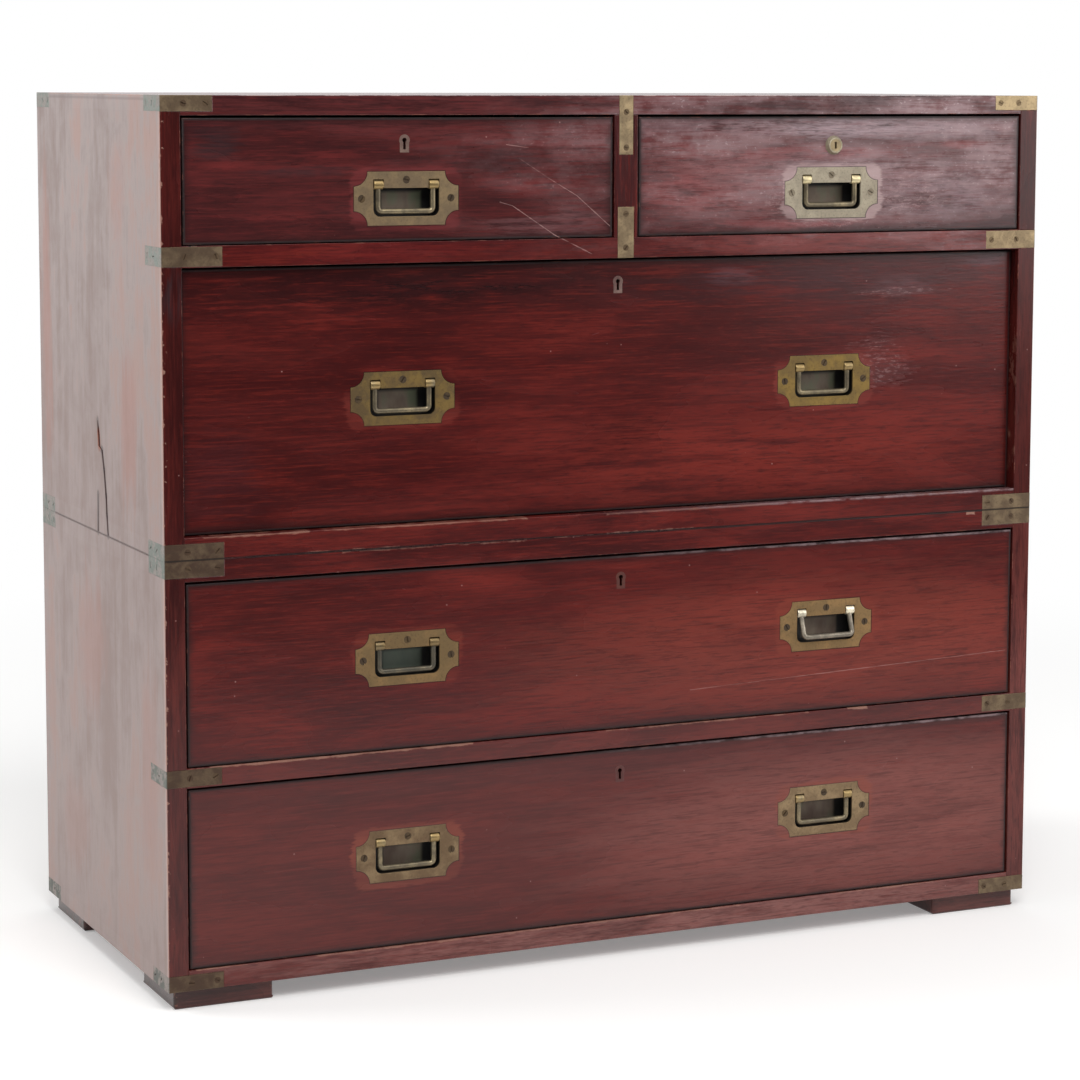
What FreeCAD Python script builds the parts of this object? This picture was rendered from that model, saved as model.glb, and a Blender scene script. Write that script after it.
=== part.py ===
import FreeCAD, Part
import os
import re

import Sketcher

# Campaign chest: an upper and a lower section, five drawers, flush swing handles, inlaid straps and drawer locks.
# Millimetres, +Z up, front towards -Y. The origin is on the floor, under the middle of the chest's overall box,
# which includes the one bail that hangs a little way out of its plate.

Vector = FreeCAD.Vector
Placement = FreeCAD.Placement
Rotation = FreeCAD.Rotation

# Driving dimensions. Each is one cell of the sheet, under its own name.
SIZES = {
    # carcass
    "width": (990.0, "width of both sections"),
    "depth": (436.0, "depth of both sections"),
    "upper_height": (450.0, "height of the upper section"),
    "lower_height": (429.0, "height of the lower section without its feet"),
    "side_board": (21.0, "thickness of the sides"),
    "top_board": (19.5, "thickness of the top between the sides"),
    "top_lap": (15.5, "thickness of the top over the ends of the sides"),
    "upper_seam_board": (22.0, "thickness of the upper section's bottom between its sides"),
    "upper_seam_lap": (16.0, "thickness of that bottom under the ends of the sides"),
    "lower_seam_board": (21.5, "thickness of the lower section's top between its sides"),
    "lower_seam_lap": (17.0, "thickness of that top over the ends of the sides"),
    "base_board": (20.5, "thickness of the lower section's bottom between its sides"),
    "base_lap": (16.0, "thickness of that bottom under the ends of the sides"),
    "upper_rail": (21.0, "height of the rail under the small drawers"),
    "lower_rail": (19.5, "height of the rail between the long drawers"),
    "small_opening": (125.0, "height of the small drawers' openings"),
    "third_opening": (184.5, "height of the upper long drawer's opening"),
    "divider_width": (26.5, "thickness of the divider between the small drawers"),
    "rail_depth": (70.0, "depth of a front rail"),
    "back_rail_depth": (40.0, "depth of a rail at the back"),
    "runner_width": (32.0, "width of a drawer runner"),
    "dust_panel": (8.0, "thickness of a dust panel"),
    "dust_groove": (5.0, "depth of the grooves that hold a dust panel"),
    "back_panel": (10.0, "thickness of a back panel"),
    "back_rebate": (8.0, "reach of a back panel into the boards round it"),
    # feet and the dowels between the sections
    "foot_height": (20.0, "height of the feet"),
    "foot_width": (103.0, "width and depth of a foot"),
    "foot_inset": (8.0, "distance of a foot from the outer faces"),
    "foot_round": (3.0, "rounding of a foot's lower edges"),
    "peg_diameter": (16.0, "diameter of a locating dowel"),
    "peg_rise": (12.0, "height of a dowel above the seam"),
    "peg_depth": (13.0, "depth of a dowel below the seam"),
    "peg_inset": (70.0, "distance of a dowel from the outer faces"),
    "peg_clearance": (0.5, "room round and above a dowel in the upper section"),
    # straps
    "strap_gauge": (2.0, "thickness of a strap"),
    "strap_return": (50.0, "length of a strap along the side"),
    "top_strap_reach": (53.0, "length of a top strap along the front"),
    "rail_strap_reach": (62.0, "length of an upper rail strap along the front"),
    "seam_strap_reach": (61.0, "length of a seam strap along the front"),
    "low_strap_reach": (57.0, "length of a lower rail or bottom strap along the front"),
    "rail_strap_height": (19.0, "height of an upper rail strap"),
    "low_rail_strap_height": (17.0, "height of a lower rail strap"),
    "strap_margin": (1.0, "distance of a rail strap from the rail's upper edge"),
    "screw_from_end": (6.5, "distance of a strap's outer screw from its end"),
    "screw_from_corner": (24.0, "distance of a strap's inner screw from the corner"),
    "post_plate_width": (15.5, "width of the brass plate at the divider's head"),
    "post_plate_length": (60.0, "length of the brass plate at the divider's head"),
    "root_plate_width": (18.0, "width of the brass plate at the divider's root"),
    "root_plate_rise": (31.0, "reach of that plate above the upper rail"),
    "post_screw_inset": (7.0, "distance of a divider plate's outer screw from its end"),
    "post_screw_drop": (17.0, "distance of the head plate's upper screw from the top"),
    # screws
    "strap_screw_head": (6.4, "diameter of a strap screw's head"),
    "handle_screw_head": (7.6, "diameter of a handle screw's head"),
    "screw_shank": (3.6, "diameter of a screw's shank"),
    "screw_length": (15.0, "length of a screw"),
    "screw_slot": (1.1, "width of a screw's slot"),
    "screw_slot_depth": (0.9, "depth of a screw's slot"),
    "screw_clearance": (0.1, "room round a screw in its hole"),
    # drawers
    "front_board": (24.0, "thickness of a drawer front"),
    "drawer_side": (11.0, "thickness of a drawer's sides"),
    "drawer_back": (10.0, "thickness of a drawer's back"),
    "drawer_bottom": (6.0, "thickness of a drawer's bottom"),
    "bottom_lift": (7.0, "height of the bottom above the sides' lower edges"),
    "bottom_groove": (5.0, "depth of the grooves that hold a drawer's bottom"),
    "front_lap": (6.0, "wood left in front of the dovetails"),
    "tail_taper": (2.6, "narrowing of a dovetail on each of its sloping faces"),
    "pin_root": (3.2, "half height of a dovetail pin at the tails' ends"),
    "side_gap": (1.8, "gap at each end of a drawer front"),
    "head_gap": (2.4, "gap above a drawer front"),
    "foot_gap": (0.9, "gap under a drawer front"),
    "running_gap": (0.3, "gap between a drawer's sides and its runners"),
    "side_relief": (0.6, "distance of a drawer's sides from the ends of its front"),
    "side_drop": (4.0, "distance of the drawer sides' upper edges from the front's"),
    "back_drop": (6.0, "distance of a drawer back's upper edge from the sides'"),
    "stop_gap": (4.0, "room behind a closed drawer"),
    "small_setback": (1.0, "distance of the small drawers' faces behind the carcass front"),
    "deep_setback": (12.0, "distance of the deep drawer's face behind the carcass front"),
    "long_setback": (1.5, "distance of the long drawers' faces behind the carcass front"),
    # flush handles
    "handle_offset": (241.0, "distance of the handles from the chest's middle"),
    "small_handle_sink": (18.85, "distance of a small drawer's handle below the middle of its front"),
    "deep_handle_sink": (3.6, "the same on the deep drawer"),
    "third_handle_sink": (-1.4, "the same on the upper long drawer"),
    "fourth_handle_sink": (-3.15, "the same on the lower long drawer"),
    "plate_width": (111.5, "width of a handle plate"),
    "plate_height": (53.4, "height of a handle plate"),
    "plate_gauge": (2.4, "thickness of a handle plate"),
    "notch_radius": (14.5, "radius of the hollow corners of a handle plate"),
    "window_width": (70.0, "width of the opening in a handle plate"),
    "window_drop": (16.4, "distance of the opening from the plate's upper edge"),
    "window_height": (28.0, "height of the opening"),
    "window_round": (7.0, "radius of the opening's lower corners"),
    "cup_depth": (16.0, "depth of the finger recess behind the plate's face"),
    "cup_wall": (2.4, "thickness of the recess's walls"),
    "cup_floor": (1.6, "thickness of the recess's back"),
    "handle_screw_inset": (8.2, "distance of a handle screw from the plate's edge"),
    "knuckle_width": (9.0, "length of a bail's knuckle"),
    "knuckle_diameter": (9.0, "diameter of a bail's knuckle"),
    "knuckle_drop": (13.0, "distance of the bail's pivot line from the plate's upper edge"),
    "knuckle_sink": (3.2, "distance of the pivot line behind the plate's face"),
    "knuckle_room": (0.8, "room round a knuckle in the plate"),
    "bail_rod": (5.8, "diameter of a bail's rod"),
    "bail_span": (58.6, "distance between a bail's legs"),
    "bail_drop": (26.5, "distance of a bail's bar from its pivot line"),
    "bail_corner": (7.0, "bend radius of a bail's rod"),
    "bail_swing": (20.0, "angle at which the loose bail hangs out of its plate, degrees"),
    "pin_diameter": (3.4, "diameter of a bail's pivot pins"),
    "pin_reach": (1.6, "reach of a pivot pin into the plate"),
    "pin_clearance": (0.08, "room round a pivot pin"),
    # drawer locks
    "long_lock_offset": (-3.0, "place of the wide drawers' locks along the front"),
    "small_lock_offset": (243.0, "distance of the small drawers' locks from the chest's middle"),
    "key_drop": (22.2, "distance of the key hole from the front's upper edge"),
    "escutcheon_radius": (5.6, "outer radius of an escutcheon's head"),
    "escutcheon_half": (4.9, "half width of an escutcheon's shank"),
    "escutcheon_fall": (12.2, "reach of an escutcheon below the key hole"),
    "escutcheon_gauge": (2.5, "thickness of an escutcheon"),
    "key_radius": (2.3, "radius of the key hole's head"),
    "key_slot_half": (1.35, "half width of the key hole's slot"),
    "key_slot_fall": (9.1, "reach of the key hole's slot below its head"),
    "case_width": (64.0, "width of a lock case"),
    "case_height": (46.0, "height of a lock case"),
    "case_depth": (12.0, "depth of a lock case"),
    "case_wall": (1.8, "thickness of a lock case's walls"),
    "bolt_width": (28.0, "width of a lock bolt"),
    "bolt_gauge": (5.0, "thickness of a lock bolt"),
    "bolt_height": (18.0, "height of a lock bolt above its foot"),
    "bolt_foot_width": (42.0, "width of a lock bolt's foot"),
    "bolt_foot_height": (10.0, "height of a lock bolt's foot"),
    "bolt_sink": (0.3, "distance of a drawn bolt from the front's upper edge"),
    "bolt_room": (0.5, "room round a lock bolt in its case"),
    "mortise_room": (1.2, "room round a lock bolt in its mortise"),
    "mortise_depth": (8.5, "depth of a lock bolt's mortise"),
    # the round lock
    "cylinder_drop": (30.0, "distance of the round lock from the front's upper edge"),
    "cylinder_proud": (4.5, "height of the round lock's nose"),
    "nose_radius": (10.0, "radius of the nose at the drawer's face"),
    "nose_face_radius": (8.0, "radius of the nose at its outer face"),
    "barrel_radius": (8.5, "radius of the round lock's barrel"),
    "plug_radius": (6.5, "radius of the turning plug"),
    "plug_clearance": (0.05, "room round the plug"),
    "nut_radius": (13.0, "radius of the round nut behind the front"),
    "nut_gauge": (4.0, "thickness of that nut"),
    "keyway_half": (1.2, "half width of the plug's keyway"),
    "keyway_rise": (3.6, "half height of the keyway"),
    "keyway_depth": (14.0, "depth of the keyway"),
    "cam_length": (38.0, "reach of the cam from the plug's axis"),
    "cam_width": (11.0, "width of the cam"),
    "cam_gauge": (2.5, "thickness of the cam"),
    "cam_gap": (1.0, "room between the cam and the nut"),
}

# Values worked out from the sizes, in the order in which they depend on each other.
WORKED = {
    "bail_proud": "sin(bail_swing) * bail_drop + bail_rod / 2 - knuckle_sink - long_setback",
    "front_reach": "max(bail_proud; cylinder_proud - small_setback)",
    "front_y": "(front_reach - depth) / 2",
    "back_y": "front_y + depth",
    "middle_y": "front_y + depth / 2",
    "back_panel_y": "back_y - back_panel",
    "outer_west": "-width / 2",
    "inner_west": "outer_west + side_board",
    "outer_east": "width / 2",
    "inner_east": "outer_east - side_board",
    "divider_west": "-divider_width / 2",
    "divider_east": "divider_width / 2",
    "seam": "foot_height + lower_height",
    "crown": "seam + upper_height",
    "small_ceiling": "crown - top_board",
    "small_floor": "small_ceiling - small_opening",
    "deep_ceiling": "small_floor - upper_rail",
    "deep_floor": "seam + upper_seam_board",
    "third_ceiling": "seam - lower_seam_board",
    "third_floor": "third_ceiling - third_opening",
    "fourth_ceiling": "third_floor - lower_rail",
    "fourth_floor": "foot_height + base_board",
    "window_half": "window_width / 2",
    "bay_inner": "bail_span / 2 - knuckle_width / 2 - knuckle_room",
    "bay_drop": "knuckle_drop - knuckle_diameter / 2 - knuckle_room",
    "cam_rise": "cylinder_drop + head_gap",
    "cam_sweep": "sqrt(cam_length * cam_length + cam_width * cam_width / 4 - cam_rise * cam_rise)",
}

# Directions in which a screw's head faces, as turns of a screw that stands head up.
FACING_FRONT = Rotation(Vector(1, 0, 0), 90)
FACING_WEST = Rotation(Vector(0, 1, 0), -90)

# Turns that lay a cylinder, which is made along Z, along another axis.
ALONG = {
    "x": Rotation(Vector(0, 1, 0), 90),
    "y": Rotation(Vector(1, 0, 0), -90),
    "z": Rotation(),
}

document = FreeCAD.newDocument("CampaignChest")
sub_parts = []


# ---------------------------------------------------------------------------------------------- sheet and bindings

def make_sheet():
    """Put the driving dimensions into the sheet, one aliased cell each."""
    sheet = document.addObject("Spreadsheet::Sheet", "Sizes")
    for row, (alias, (number, meaning)) in enumerate(SIZES.items(), start=1):
        sheet.set(f"A{row}", alias)
        sheet.set(f"B{row}", str(number))
        sheet.set(f"C{row}", meaning)
        sheet.setAlias(f"B{row}", alias)
    document.recompute()


def spelled(expression, inside_worked=False):
    """Name the object that holds each value in an expression."""
    def with_owner(match):
        word = match.group(0)
        if word in SIZES:
            return "Sizes." + word
        if word in WORKED and not inside_worked:
            return "Worked." + word
        return word
    return re.sub(r"[a-z][a-z_]*", with_owner, str(expression))


def make_worked_values():
    """Hold the worked-out values in one object, bound to the sheet."""
    worked = document.addObject("App::VarSet", "Worked")
    for name, expression in WORKED.items():
        worked.addProperty("App::PropertyFloat", name)
        worked.setExpression(name, spelled(expression, inside_worked=True))
    document.recompute()


def bind(piece, **expressions):
    """Bind properties of a piece to expressions; x, y and z stand for its place."""
    for name, expression in expressions.items():
        target = "Placement.Base." + name if name in ("x", "y", "z") else name
        piece.setExpression(target, spelled(expression))


# ---------------------------------------------------------------------------------------------- plain solids

def block(name, west, east, front, back, foot, top):
    """A box between six planes."""
    box = document.addObject("Part::Box", name)
    bind(box, Length=f"({east}) - ({west})", Width=f"({back}) - ({front})", Height=f"({top}) - ({foot})")
    bind(box, x=west, y=front, z=foot)
    return box


def rod(name, axis, radius, start, end, x="0", y="0", z="0"):
    """A cylinder along an axis, from start to end on that axis."""
    cylinder = document.addObject("Part::Cylinder", name)
    cylinder.Placement = Placement(Vector(), ALONG[axis])
    bind(cylinder, Radius=radius, Height=f"({end}) - ({start})")
    place = {"x": x, "y": y, "z": z}
    place[axis] = start
    bind(cylinder, **place)
    return cylinder


def fuse(name, *pieces):
    """One solid from pieces that meet."""
    whole = document.addObject("Part::MultiFuse", name)
    whole.Shapes = list(pieces)
    whole.Refine = True
    return whole


def cut(name, base, *tools):
    """The base without each of the tools, one after the other."""
    for number, tool in enumerate(tools, start=1):
        step = document.addObject("Part::Cut", f"{name}_cut_{number}")
        step.Base = base
        step.Tool = tool
        base = step
    return base


def group(name, *pieces):
    """Separate solids kept together under one name."""
    compound = document.addObject("Part::Compound", name)
    compound.Links = list(pieces)
    return compound


def mirrored(name, piece, normal, **plane):
    """The piece's mirror image in a plane through the bound point."""
    image = document.addObject("Part::Mirroring", name)
    image.Source = piece
    image.Normal = normal
    for axis, expression in plane.items():
        image.setExpression("Base." + axis, spelled(expression))
    return image


def east_image(name, piece):
    """The piece's mirror image on the chest's other side."""
    return mirrored(name, piece, Vector(1, 0, 0))


def back_image(name, piece):
    """The piece's mirror image at the chest's back."""
    return mirrored(name, piece, Vector(0, 1, 0), y="middle_y")


def placed(name, template, x, y, z, turn=None):
    """A linked copy of a template at a bound place."""
    link = document.addObject("App::Link", name)
    link.LinkedObject = template
    link.LinkTransform = True
    link.Placement = Placement(Vector(), turn or Rotation())
    bind(link, x=x, y=y, z=z)
    return link


def rounded(name, piece, radius, picks):
    """Round the edges of a piece that picks(edge) accepts."""
    document.recompute()
    size = getattr(document.Sizes, radius)
    edges = [number for number, edge in enumerate(piece.Shape.Edges, start=1) if picks(edge)]
    soft = document.addObject("Part::Fillet", name)
    soft.Base = piece
    soft.Edges = [(number, size, size) for number in edges]
    return soft


def runs_along(edge, axis):
    """Whether a straight edge is parallel to an axis."""
    ends = edge.Vertexes
    return len(ends) == 2 and abs((ends[1].Point - ends[0].Point).normalize().dot(axis)) > 0.999


def deliver(label, *pieces):
    """Record the finished sub-part under its own label."""
    whole = group("node_" + label, *pieces)
    whole.Label = label
    sub_parts.append(whole)
    return whole


# ---------------------------------------------------------------------------------------------- sketched solids

def plane_of(body, role):
    """One of a body's own origin planes."""
    return next(feature for feature in body.Origin.OriginFeatures if feature.Role == role)


def outline(body, name, role, corners):
    """A closed outline on an origin plane, with every corner bound to its two expressions."""
    sketch = body.newObject("Sketcher::SketchObject", name)
    sketch.AttachmentSupport = [(plane_of(body, role), "")]
    sketch.MapMode = "FlatFace"
    count = len(corners)
    starts = [Vector(index, index * index, 0) for index in range(count)]
    for index in range(count):
        sketch.addGeometry(Part.LineSegment(starts[index], starts[(index + 1) % count]))
    for index in range(count):
        sketch.addConstraint(Sketcher.Constraint("Coincident", index, 2, (index + 1) % count, 1))
    for index, corner in enumerate(corners):
        for kind, expression in zip(("DistanceX", "DistanceY"), corner):
            start = starts[index].x if kind == "DistanceX" else starts[index].y
            sketch.addConstraint(Sketcher.Constraint(kind, -1, 1, index, 1, float(start)))
            sketch.setExpression(f"Constraints[{sketch.ConstraintCount - 1}]", spelled(expression))
    return sketch


def make_screw(name, head, extra="0", slotted=True):
    """A countersunk screw that stands head up with its head's face at z = 0, or the room for one."""
    body = document.addObject("PartDesign::Body", name)
    head_radius = f"{head} / 2 + {extra}"
    shank_radius = f"screw_shank / 2 + {extra}"
    cone = f"-({head_radius} - ({shank_radius}))"
    profile = outline(body, name + "_profile", "XZ_Plane", [
        ("0", "0"),
        (head_radius, "0"),
        (shank_radius, cone),
        (shank_radius, f"-screw_length + screw_shank - {extra}"),
        ("0", f"-screw_length - {extra}"),
    ])
    turned = body.newObject("PartDesign::Revolution", name + "_turned")
    turned.Profile = profile
    turned.ReferenceAxis = (profile, ["V_Axis"])
    if slotted:
        reach = f"{head} / 2 + 1"
        slot = outline(body, name + "_slot", "XY_Plane", [
            (f"-({reach})", "-screw_slot / 2"),
            (reach, "-screw_slot / 2"),
            (reach, "screw_slot / 2"),
            (f"-({reach})", "screw_slot / 2"),
        ])
        sawn = body.newObject("PartDesign::Pocket", name + "_sawn")
        sawn.Profile = slot
        bind(sawn, Length="screw_slot_depth")
    return body


# ---------------------------------------------------------------------------------------------- straps

def make_strap(name, reach, foot, top):
    """One strap that wraps the front left corner, with its four screws and their holes."""
    west, front = "outer_west", "front_y"
    front_leg = block(name + "_front_leg", west, f"{west} + {reach}", front, f"{front} + strap_gauge", foot, top)
    side_leg = block(name + "_side_leg", west, f"{west} + strap_gauge", front, f"{front} + strap_return", foot, top)
    blank = fuse(name + "_blank", front_leg, side_leg)
    height = f"(({foot}) + ({top})) / 2"
    screws = []
    holes = []
    for spot, along in (("inner", "screw_from_corner"), ("outer", f"{reach} - screw_from_end")):
        at = (f"{west} + {along}", front, height)
        screws.append(placed(f"{name}_front_{spot}_screw", strap_screw, *at, turn=FACING_FRONT))
        holes.append(placed(f"{name}_front_{spot}_hole", strap_screw_hole, *at, turn=FACING_FRONT))
    for spot, along in (("inner", "screw_from_corner"), ("outer", "strap_return - screw_from_end")):
        at = (west, f"{front} + {along}", height)
        screws.append(placed(f"{name}_side_{spot}_screw", strap_screw, *at, turn=FACING_WEST))
        holes.append(placed(f"{name}_side_{spot}_hole", strap_screw_hole, *at, turn=FACING_WEST))
    return {"blank": blank, "screws": group(name + "_screws", *screws), "holes": group(name + "_holes", *holes)}


def all_round(name, corner_straps, front_only_straps, kind):
    """The straps, screws or holes of a section at all of its corners."""
    everywhere = [strap[kind] for strap in corner_straps]
    front_west = group(f"{name}_{kind}_front_west", *everywhere, *[strap[kind] for strap in front_only_straps])
    back_west = back_image(f"{name}_{kind}_back_west", group(f"{name}_{kind}_at_back", *everywhere))
    return [
        front_west,
        east_image(f"{name}_{kind}_front_east", front_west),
        back_west,
        east_image(f"{name}_{kind}_back_east", back_west),
    ]


def make_post_plate(name, width, foot, top, screw_heights):
    """An upright plate on the divider with two screws."""
    blank = block(name + "_blank", f"-{width} / 2", f"{width} / 2", "front_y", "front_y + strap_gauge", foot, top)
    screws = []
    holes = []
    for number, height in enumerate(screw_heights, start=1):
        at = ("0", "front_y", height)
        screws.append(placed(f"{name}_screw_{number}", strap_screw, *at, turn=FACING_FRONT))
        holes.append(placed(f"{name}_hole_{number}", strap_screw_hole, *at, turn=FACING_FRONT))
    return {"blank": blank, "screws": group(name + "_screws", *screws), "holes": group(name + "_holes", *holes)}


# ---------------------------------------------------------------------------------------------- carcass boards

def lapped_board(name, foot, top, lap_foot, lap_top):
    """A board between the sides whose thinner ends lap over or under them."""
    between = block(name + "_between", "inner_west", "inner_east", "front_y", "back_y", foot, top)
    lap = block(name + "_lap", "outer_west", "outer_east", "front_y", "back_y", lap_foot, lap_top)
    return fuse(name + "_blank", between, lap)


def make_back_panel(name, floor, ceiling):
    """A back panel that sits in a rebate all round."""
    return block(name + "_blank", "inner_west - back_rebate", "inner_east + back_rebate", "back_panel_y", "back_y",
                 f"{floor} - back_rebate", f"{ceiling} + back_rebate")


def make_rail_frame(name, foot, top, bays):
    """A front rail, its runners and back rail, and one dust panel in each bay between the runners.

    bays lists the west and east edges of the spaces between the runners.
    """
    panel_front = "front_y + rail_depth"
    panel_back = "back_panel_y - back_rail_depth"
    panel_foot = f"(({foot}) + ({top}) - dust_panel) / 2"
    panels = []
    for number, (west, east) in enumerate(bays, start=1):
        panels.append(block(f"{name}_dust_panel_{number}", f"{west} - dust_groove", f"{east} + dust_groove",
                            f"{panel_front} - dust_groove", f"{panel_back} + dust_groove",
                            panel_foot, f"{panel_foot} + dust_panel"))
    edges = ["inner_west"]
    for west, east in bays:
        edges += [west, east]
    edges.append("inner_east")
    panel_group = group(name + "_panels", *panels)
    frame = []
    for number in range(0, len(edges), 2):
        runner = block(f"{name}_runner_{number}", edges[number], edges[number + 1], panel_front, panel_back, foot, top)
        frame.append(cut(f"{name}_runner_{number}", runner, panel_group))
    front = block(name + "_front_rail", "inner_west", "inner_east", "front_y", panel_front, foot, top)
    back = block(name + "_back_rail", "inner_west", "inner_east", panel_back, "back_panel_y", foot, top)
    frame.append(cut(name + "_back_rail", back, panel_group))
    return cut(name + "_front_rail", front, panel_group), frame + panels


# ---------------------------------------------------------------------------------------------- flush handle

def make_handle():
    """A handle plate with its finger recess, the room it takes in the wood, and its screws.

    The origin is the middle of the plate's upper edge, on its face.
    """
    plate = block("plate_blank", "-plate_width / 2", "plate_width / 2", "0", "plate_gauge", "-plate_height", "0")
    notches = []
    for side in ("-", ""):
        for height in ("0", "-plate_height"):
            notches.append(rod(f"notch_{len(notches) + 1}", "y", "notch_radius", "-1", "plate_gauge + 1",
                               x=f"{side}plate_width / 2", z=height))
    plate = cut("hollow_cornered_plate", plate, *notches)

    window_foot = "-window_drop - window_height"
    cup = [block("cup_main", "-window_half - cup_wall", "window_half + cup_wall", "0", "cup_depth + cup_floor",
                 f"{window_foot} - cup_wall", "-window_drop + cup_wall")]
    window = [rounded("window_main", block("window_main_box", "-window_half", "window_half", "-1", "cup_depth",
                                           window_foot, "-window_drop"),
                      "window_round", lambda edge: runs_along(edge, Vector(0, 1, 0)) and is_low(edge))]
    for side, low, high in (("west", "-window_half", "-bay_inner"), ("east", "bay_inner", "window_half")):
        cup.append(block(f"cup_bay_{side}", f"{low} - cup_wall", f"{high} + cup_wall", "0", "cup_depth + cup_floor",
                         "-window_drop", "-bay_drop + cup_wall"))
        window.append(block(f"window_bay_{side}", low, high, "-1", "cup_depth", "-window_drop - 1", "-bay_drop"))
    blank = fuse("handle_blank", plate, *cup)
    hollow = fuse("handle_hollow", *window)

    pin_holes = group("pin_holes", *[
        rod(f"pin_hole_{side}", "x", "pin_diameter / 2 + pin_clearance", low, high,
            y="knuckle_sink", z="-knuckle_drop")
        for side, low, high in (("west", "-window_half - pin_reach - 0.3", "-window_half + 1"),
                                ("east", "window_half - 1", "window_half + pin_reach + 0.3"))
    ])
    spots = [
        ("0", "-handle_screw_inset"),
        ("-plate_width / 2 + handle_screw_inset", "-plate_height / 2"),
        ("plate_width / 2 - handle_screw_inset", "-plate_height / 2"),
    ]
    screws = group("handle_screws", *[
        placed(f"handle_screw_{number}", handle_screw, x, "0", z, turn=FACING_FRONT)
        for number, (x, z) in enumerate(spots)
    ])
    holes = group("handle_screw_holes", *[
        placed(f"handle_hole_{number}", handle_screw_hole, x, "0", z, turn=FACING_FRONT)
        for number, (x, z) in enumerate(spots)
    ])
    whole = cut("handle_plate", blank, hollow, pin_holes, holes)
    return {"plate": whole, "blank": blank, "screws": screws, "holes": holes}


def is_low(edge):
    """Whether an edge lies below the window's upper edge."""
    return edge.CenterOfMass.z < -document.Sizes.window_drop - document.Sizes.window_height / 2


def make_bail():
    """A bail that hangs from its pivot line, with the origin in the middle of that line."""
    half = "bail_span / 2"
    knuckle = rod("knuckle", "x", "knuckle_diameter / 2", f"{half} - knuckle_width / 2", f"{half} + knuckle_width / 2")
    pin = rod("pivot_pin", "x", "pin_diameter / 2", f"{half} + knuckle_width / 2", "window_half + pin_reach")
    leg = rod("bail_leg", "z", "bail_rod / 2", "-bail_drop + bail_corner", "0", x=half)
    corner = document.addObject("Part::Torus", "bail_corner_bend")
    corner.Placement = Placement(Vector(), Rotation(Vector(1, 0, 0), -90))
    bind(corner, Radius1="bail_corner", Radius2="bail_rod / 2", Angle3="90")
    bind(corner, x=f"{half} - bail_corner", z="-bail_drop + bail_corner")
    bar = rod("bail_bar", "x", "bail_rod / 2", "0", f"{half} - bail_corner", z="-bail_drop")
    east_half = fuse("bail_east_half", knuckle, pin, leg, corner, bar)
    return fuse("bail", east_half, east_image("bail_west_half", east_half))


# ---------------------------------------------------------------------------------------------- drawer locks

def keyhole_shape(name, front, back, head_radius, slot_half, fall):
    """A round head with a straight slot below it, from one depth to another."""
    head = rod(name + "_head", "y", head_radius, front, back, z="-key_drop")
    slot = block(name + "_slot", f"-({slot_half})", slot_half, front, back, f"-key_drop - ({fall})", "-key_drop")
    return fuse(name, head, slot)


def make_key_lock():
    """A cut-in lock with a bolt that shoots up. The origin is on the front's face, at its upper edge."""
    case_front = "front_board - case_depth"
    bolt_front = "front_board - case_depth / 2 - bolt_gauge / 2"
    bolt_back = f"{bolt_front} + bolt_gauge"
    escutcheon_blank = keyhole_shape("escutcheon_blank", "0", "escutcheon_gauge", "escutcheon_radius",
                                     "escutcheon_half", "escutcheon_fall")
    key_hole = keyhole_shape("key_hole", "-1", f"{case_front} + case_wall + 1", "key_radius", "key_slot_half",
                             "key_slot_fall")
    escutcheon = cut("escutcheon", escutcheon_blank, key_hole)
    case_blank = block("case_blank", "-case_width / 2", "case_width / 2", case_front, "front_board",
                       "-case_height", "0")
    hollow = block("case_hollow", "-case_width / 2 + case_wall", "case_width / 2 - case_wall",
                   f"{case_front} + case_wall", "front_board - case_wall", "-case_height + case_wall", "-case_wall")
    bolt_slot = block("case_bolt_slot", "-bolt_width / 2 - bolt_room", "bolt_width / 2 + bolt_room",
                      f"{bolt_front} - bolt_room", f"{bolt_back} + bolt_room", "-case_wall - 1", "1")
    case = cut("case", case_blank, hollow, bolt_slot, key_hole)
    shoulder = "-bolt_sink - bolt_height"
    bolt = fuse("bolt",
                block("bolt_blade", "-bolt_width / 2", "bolt_width / 2", bolt_front, bolt_back,
                      shoulder, "-bolt_sink"),
                block("bolt_foot", "-bolt_foot_width / 2", "bolt_foot_width / 2", bolt_front, bolt_back,
                      f"{shoulder} - bolt_foot_height", shoulder))
    mortise = block("bolt_mortise", "-bolt_width / 2 - mortise_room", "bolt_width / 2 + mortise_room",
                    f"{bolt_front} - mortise_room", f"{bolt_back} + mortise_room", "-1", "mortise_depth")
    return {"fixed": [escutcheon, case], "moving": bolt, "room": [escutcheon_blank, case_blank, key_hole],
            "mortise": mortise}


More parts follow.
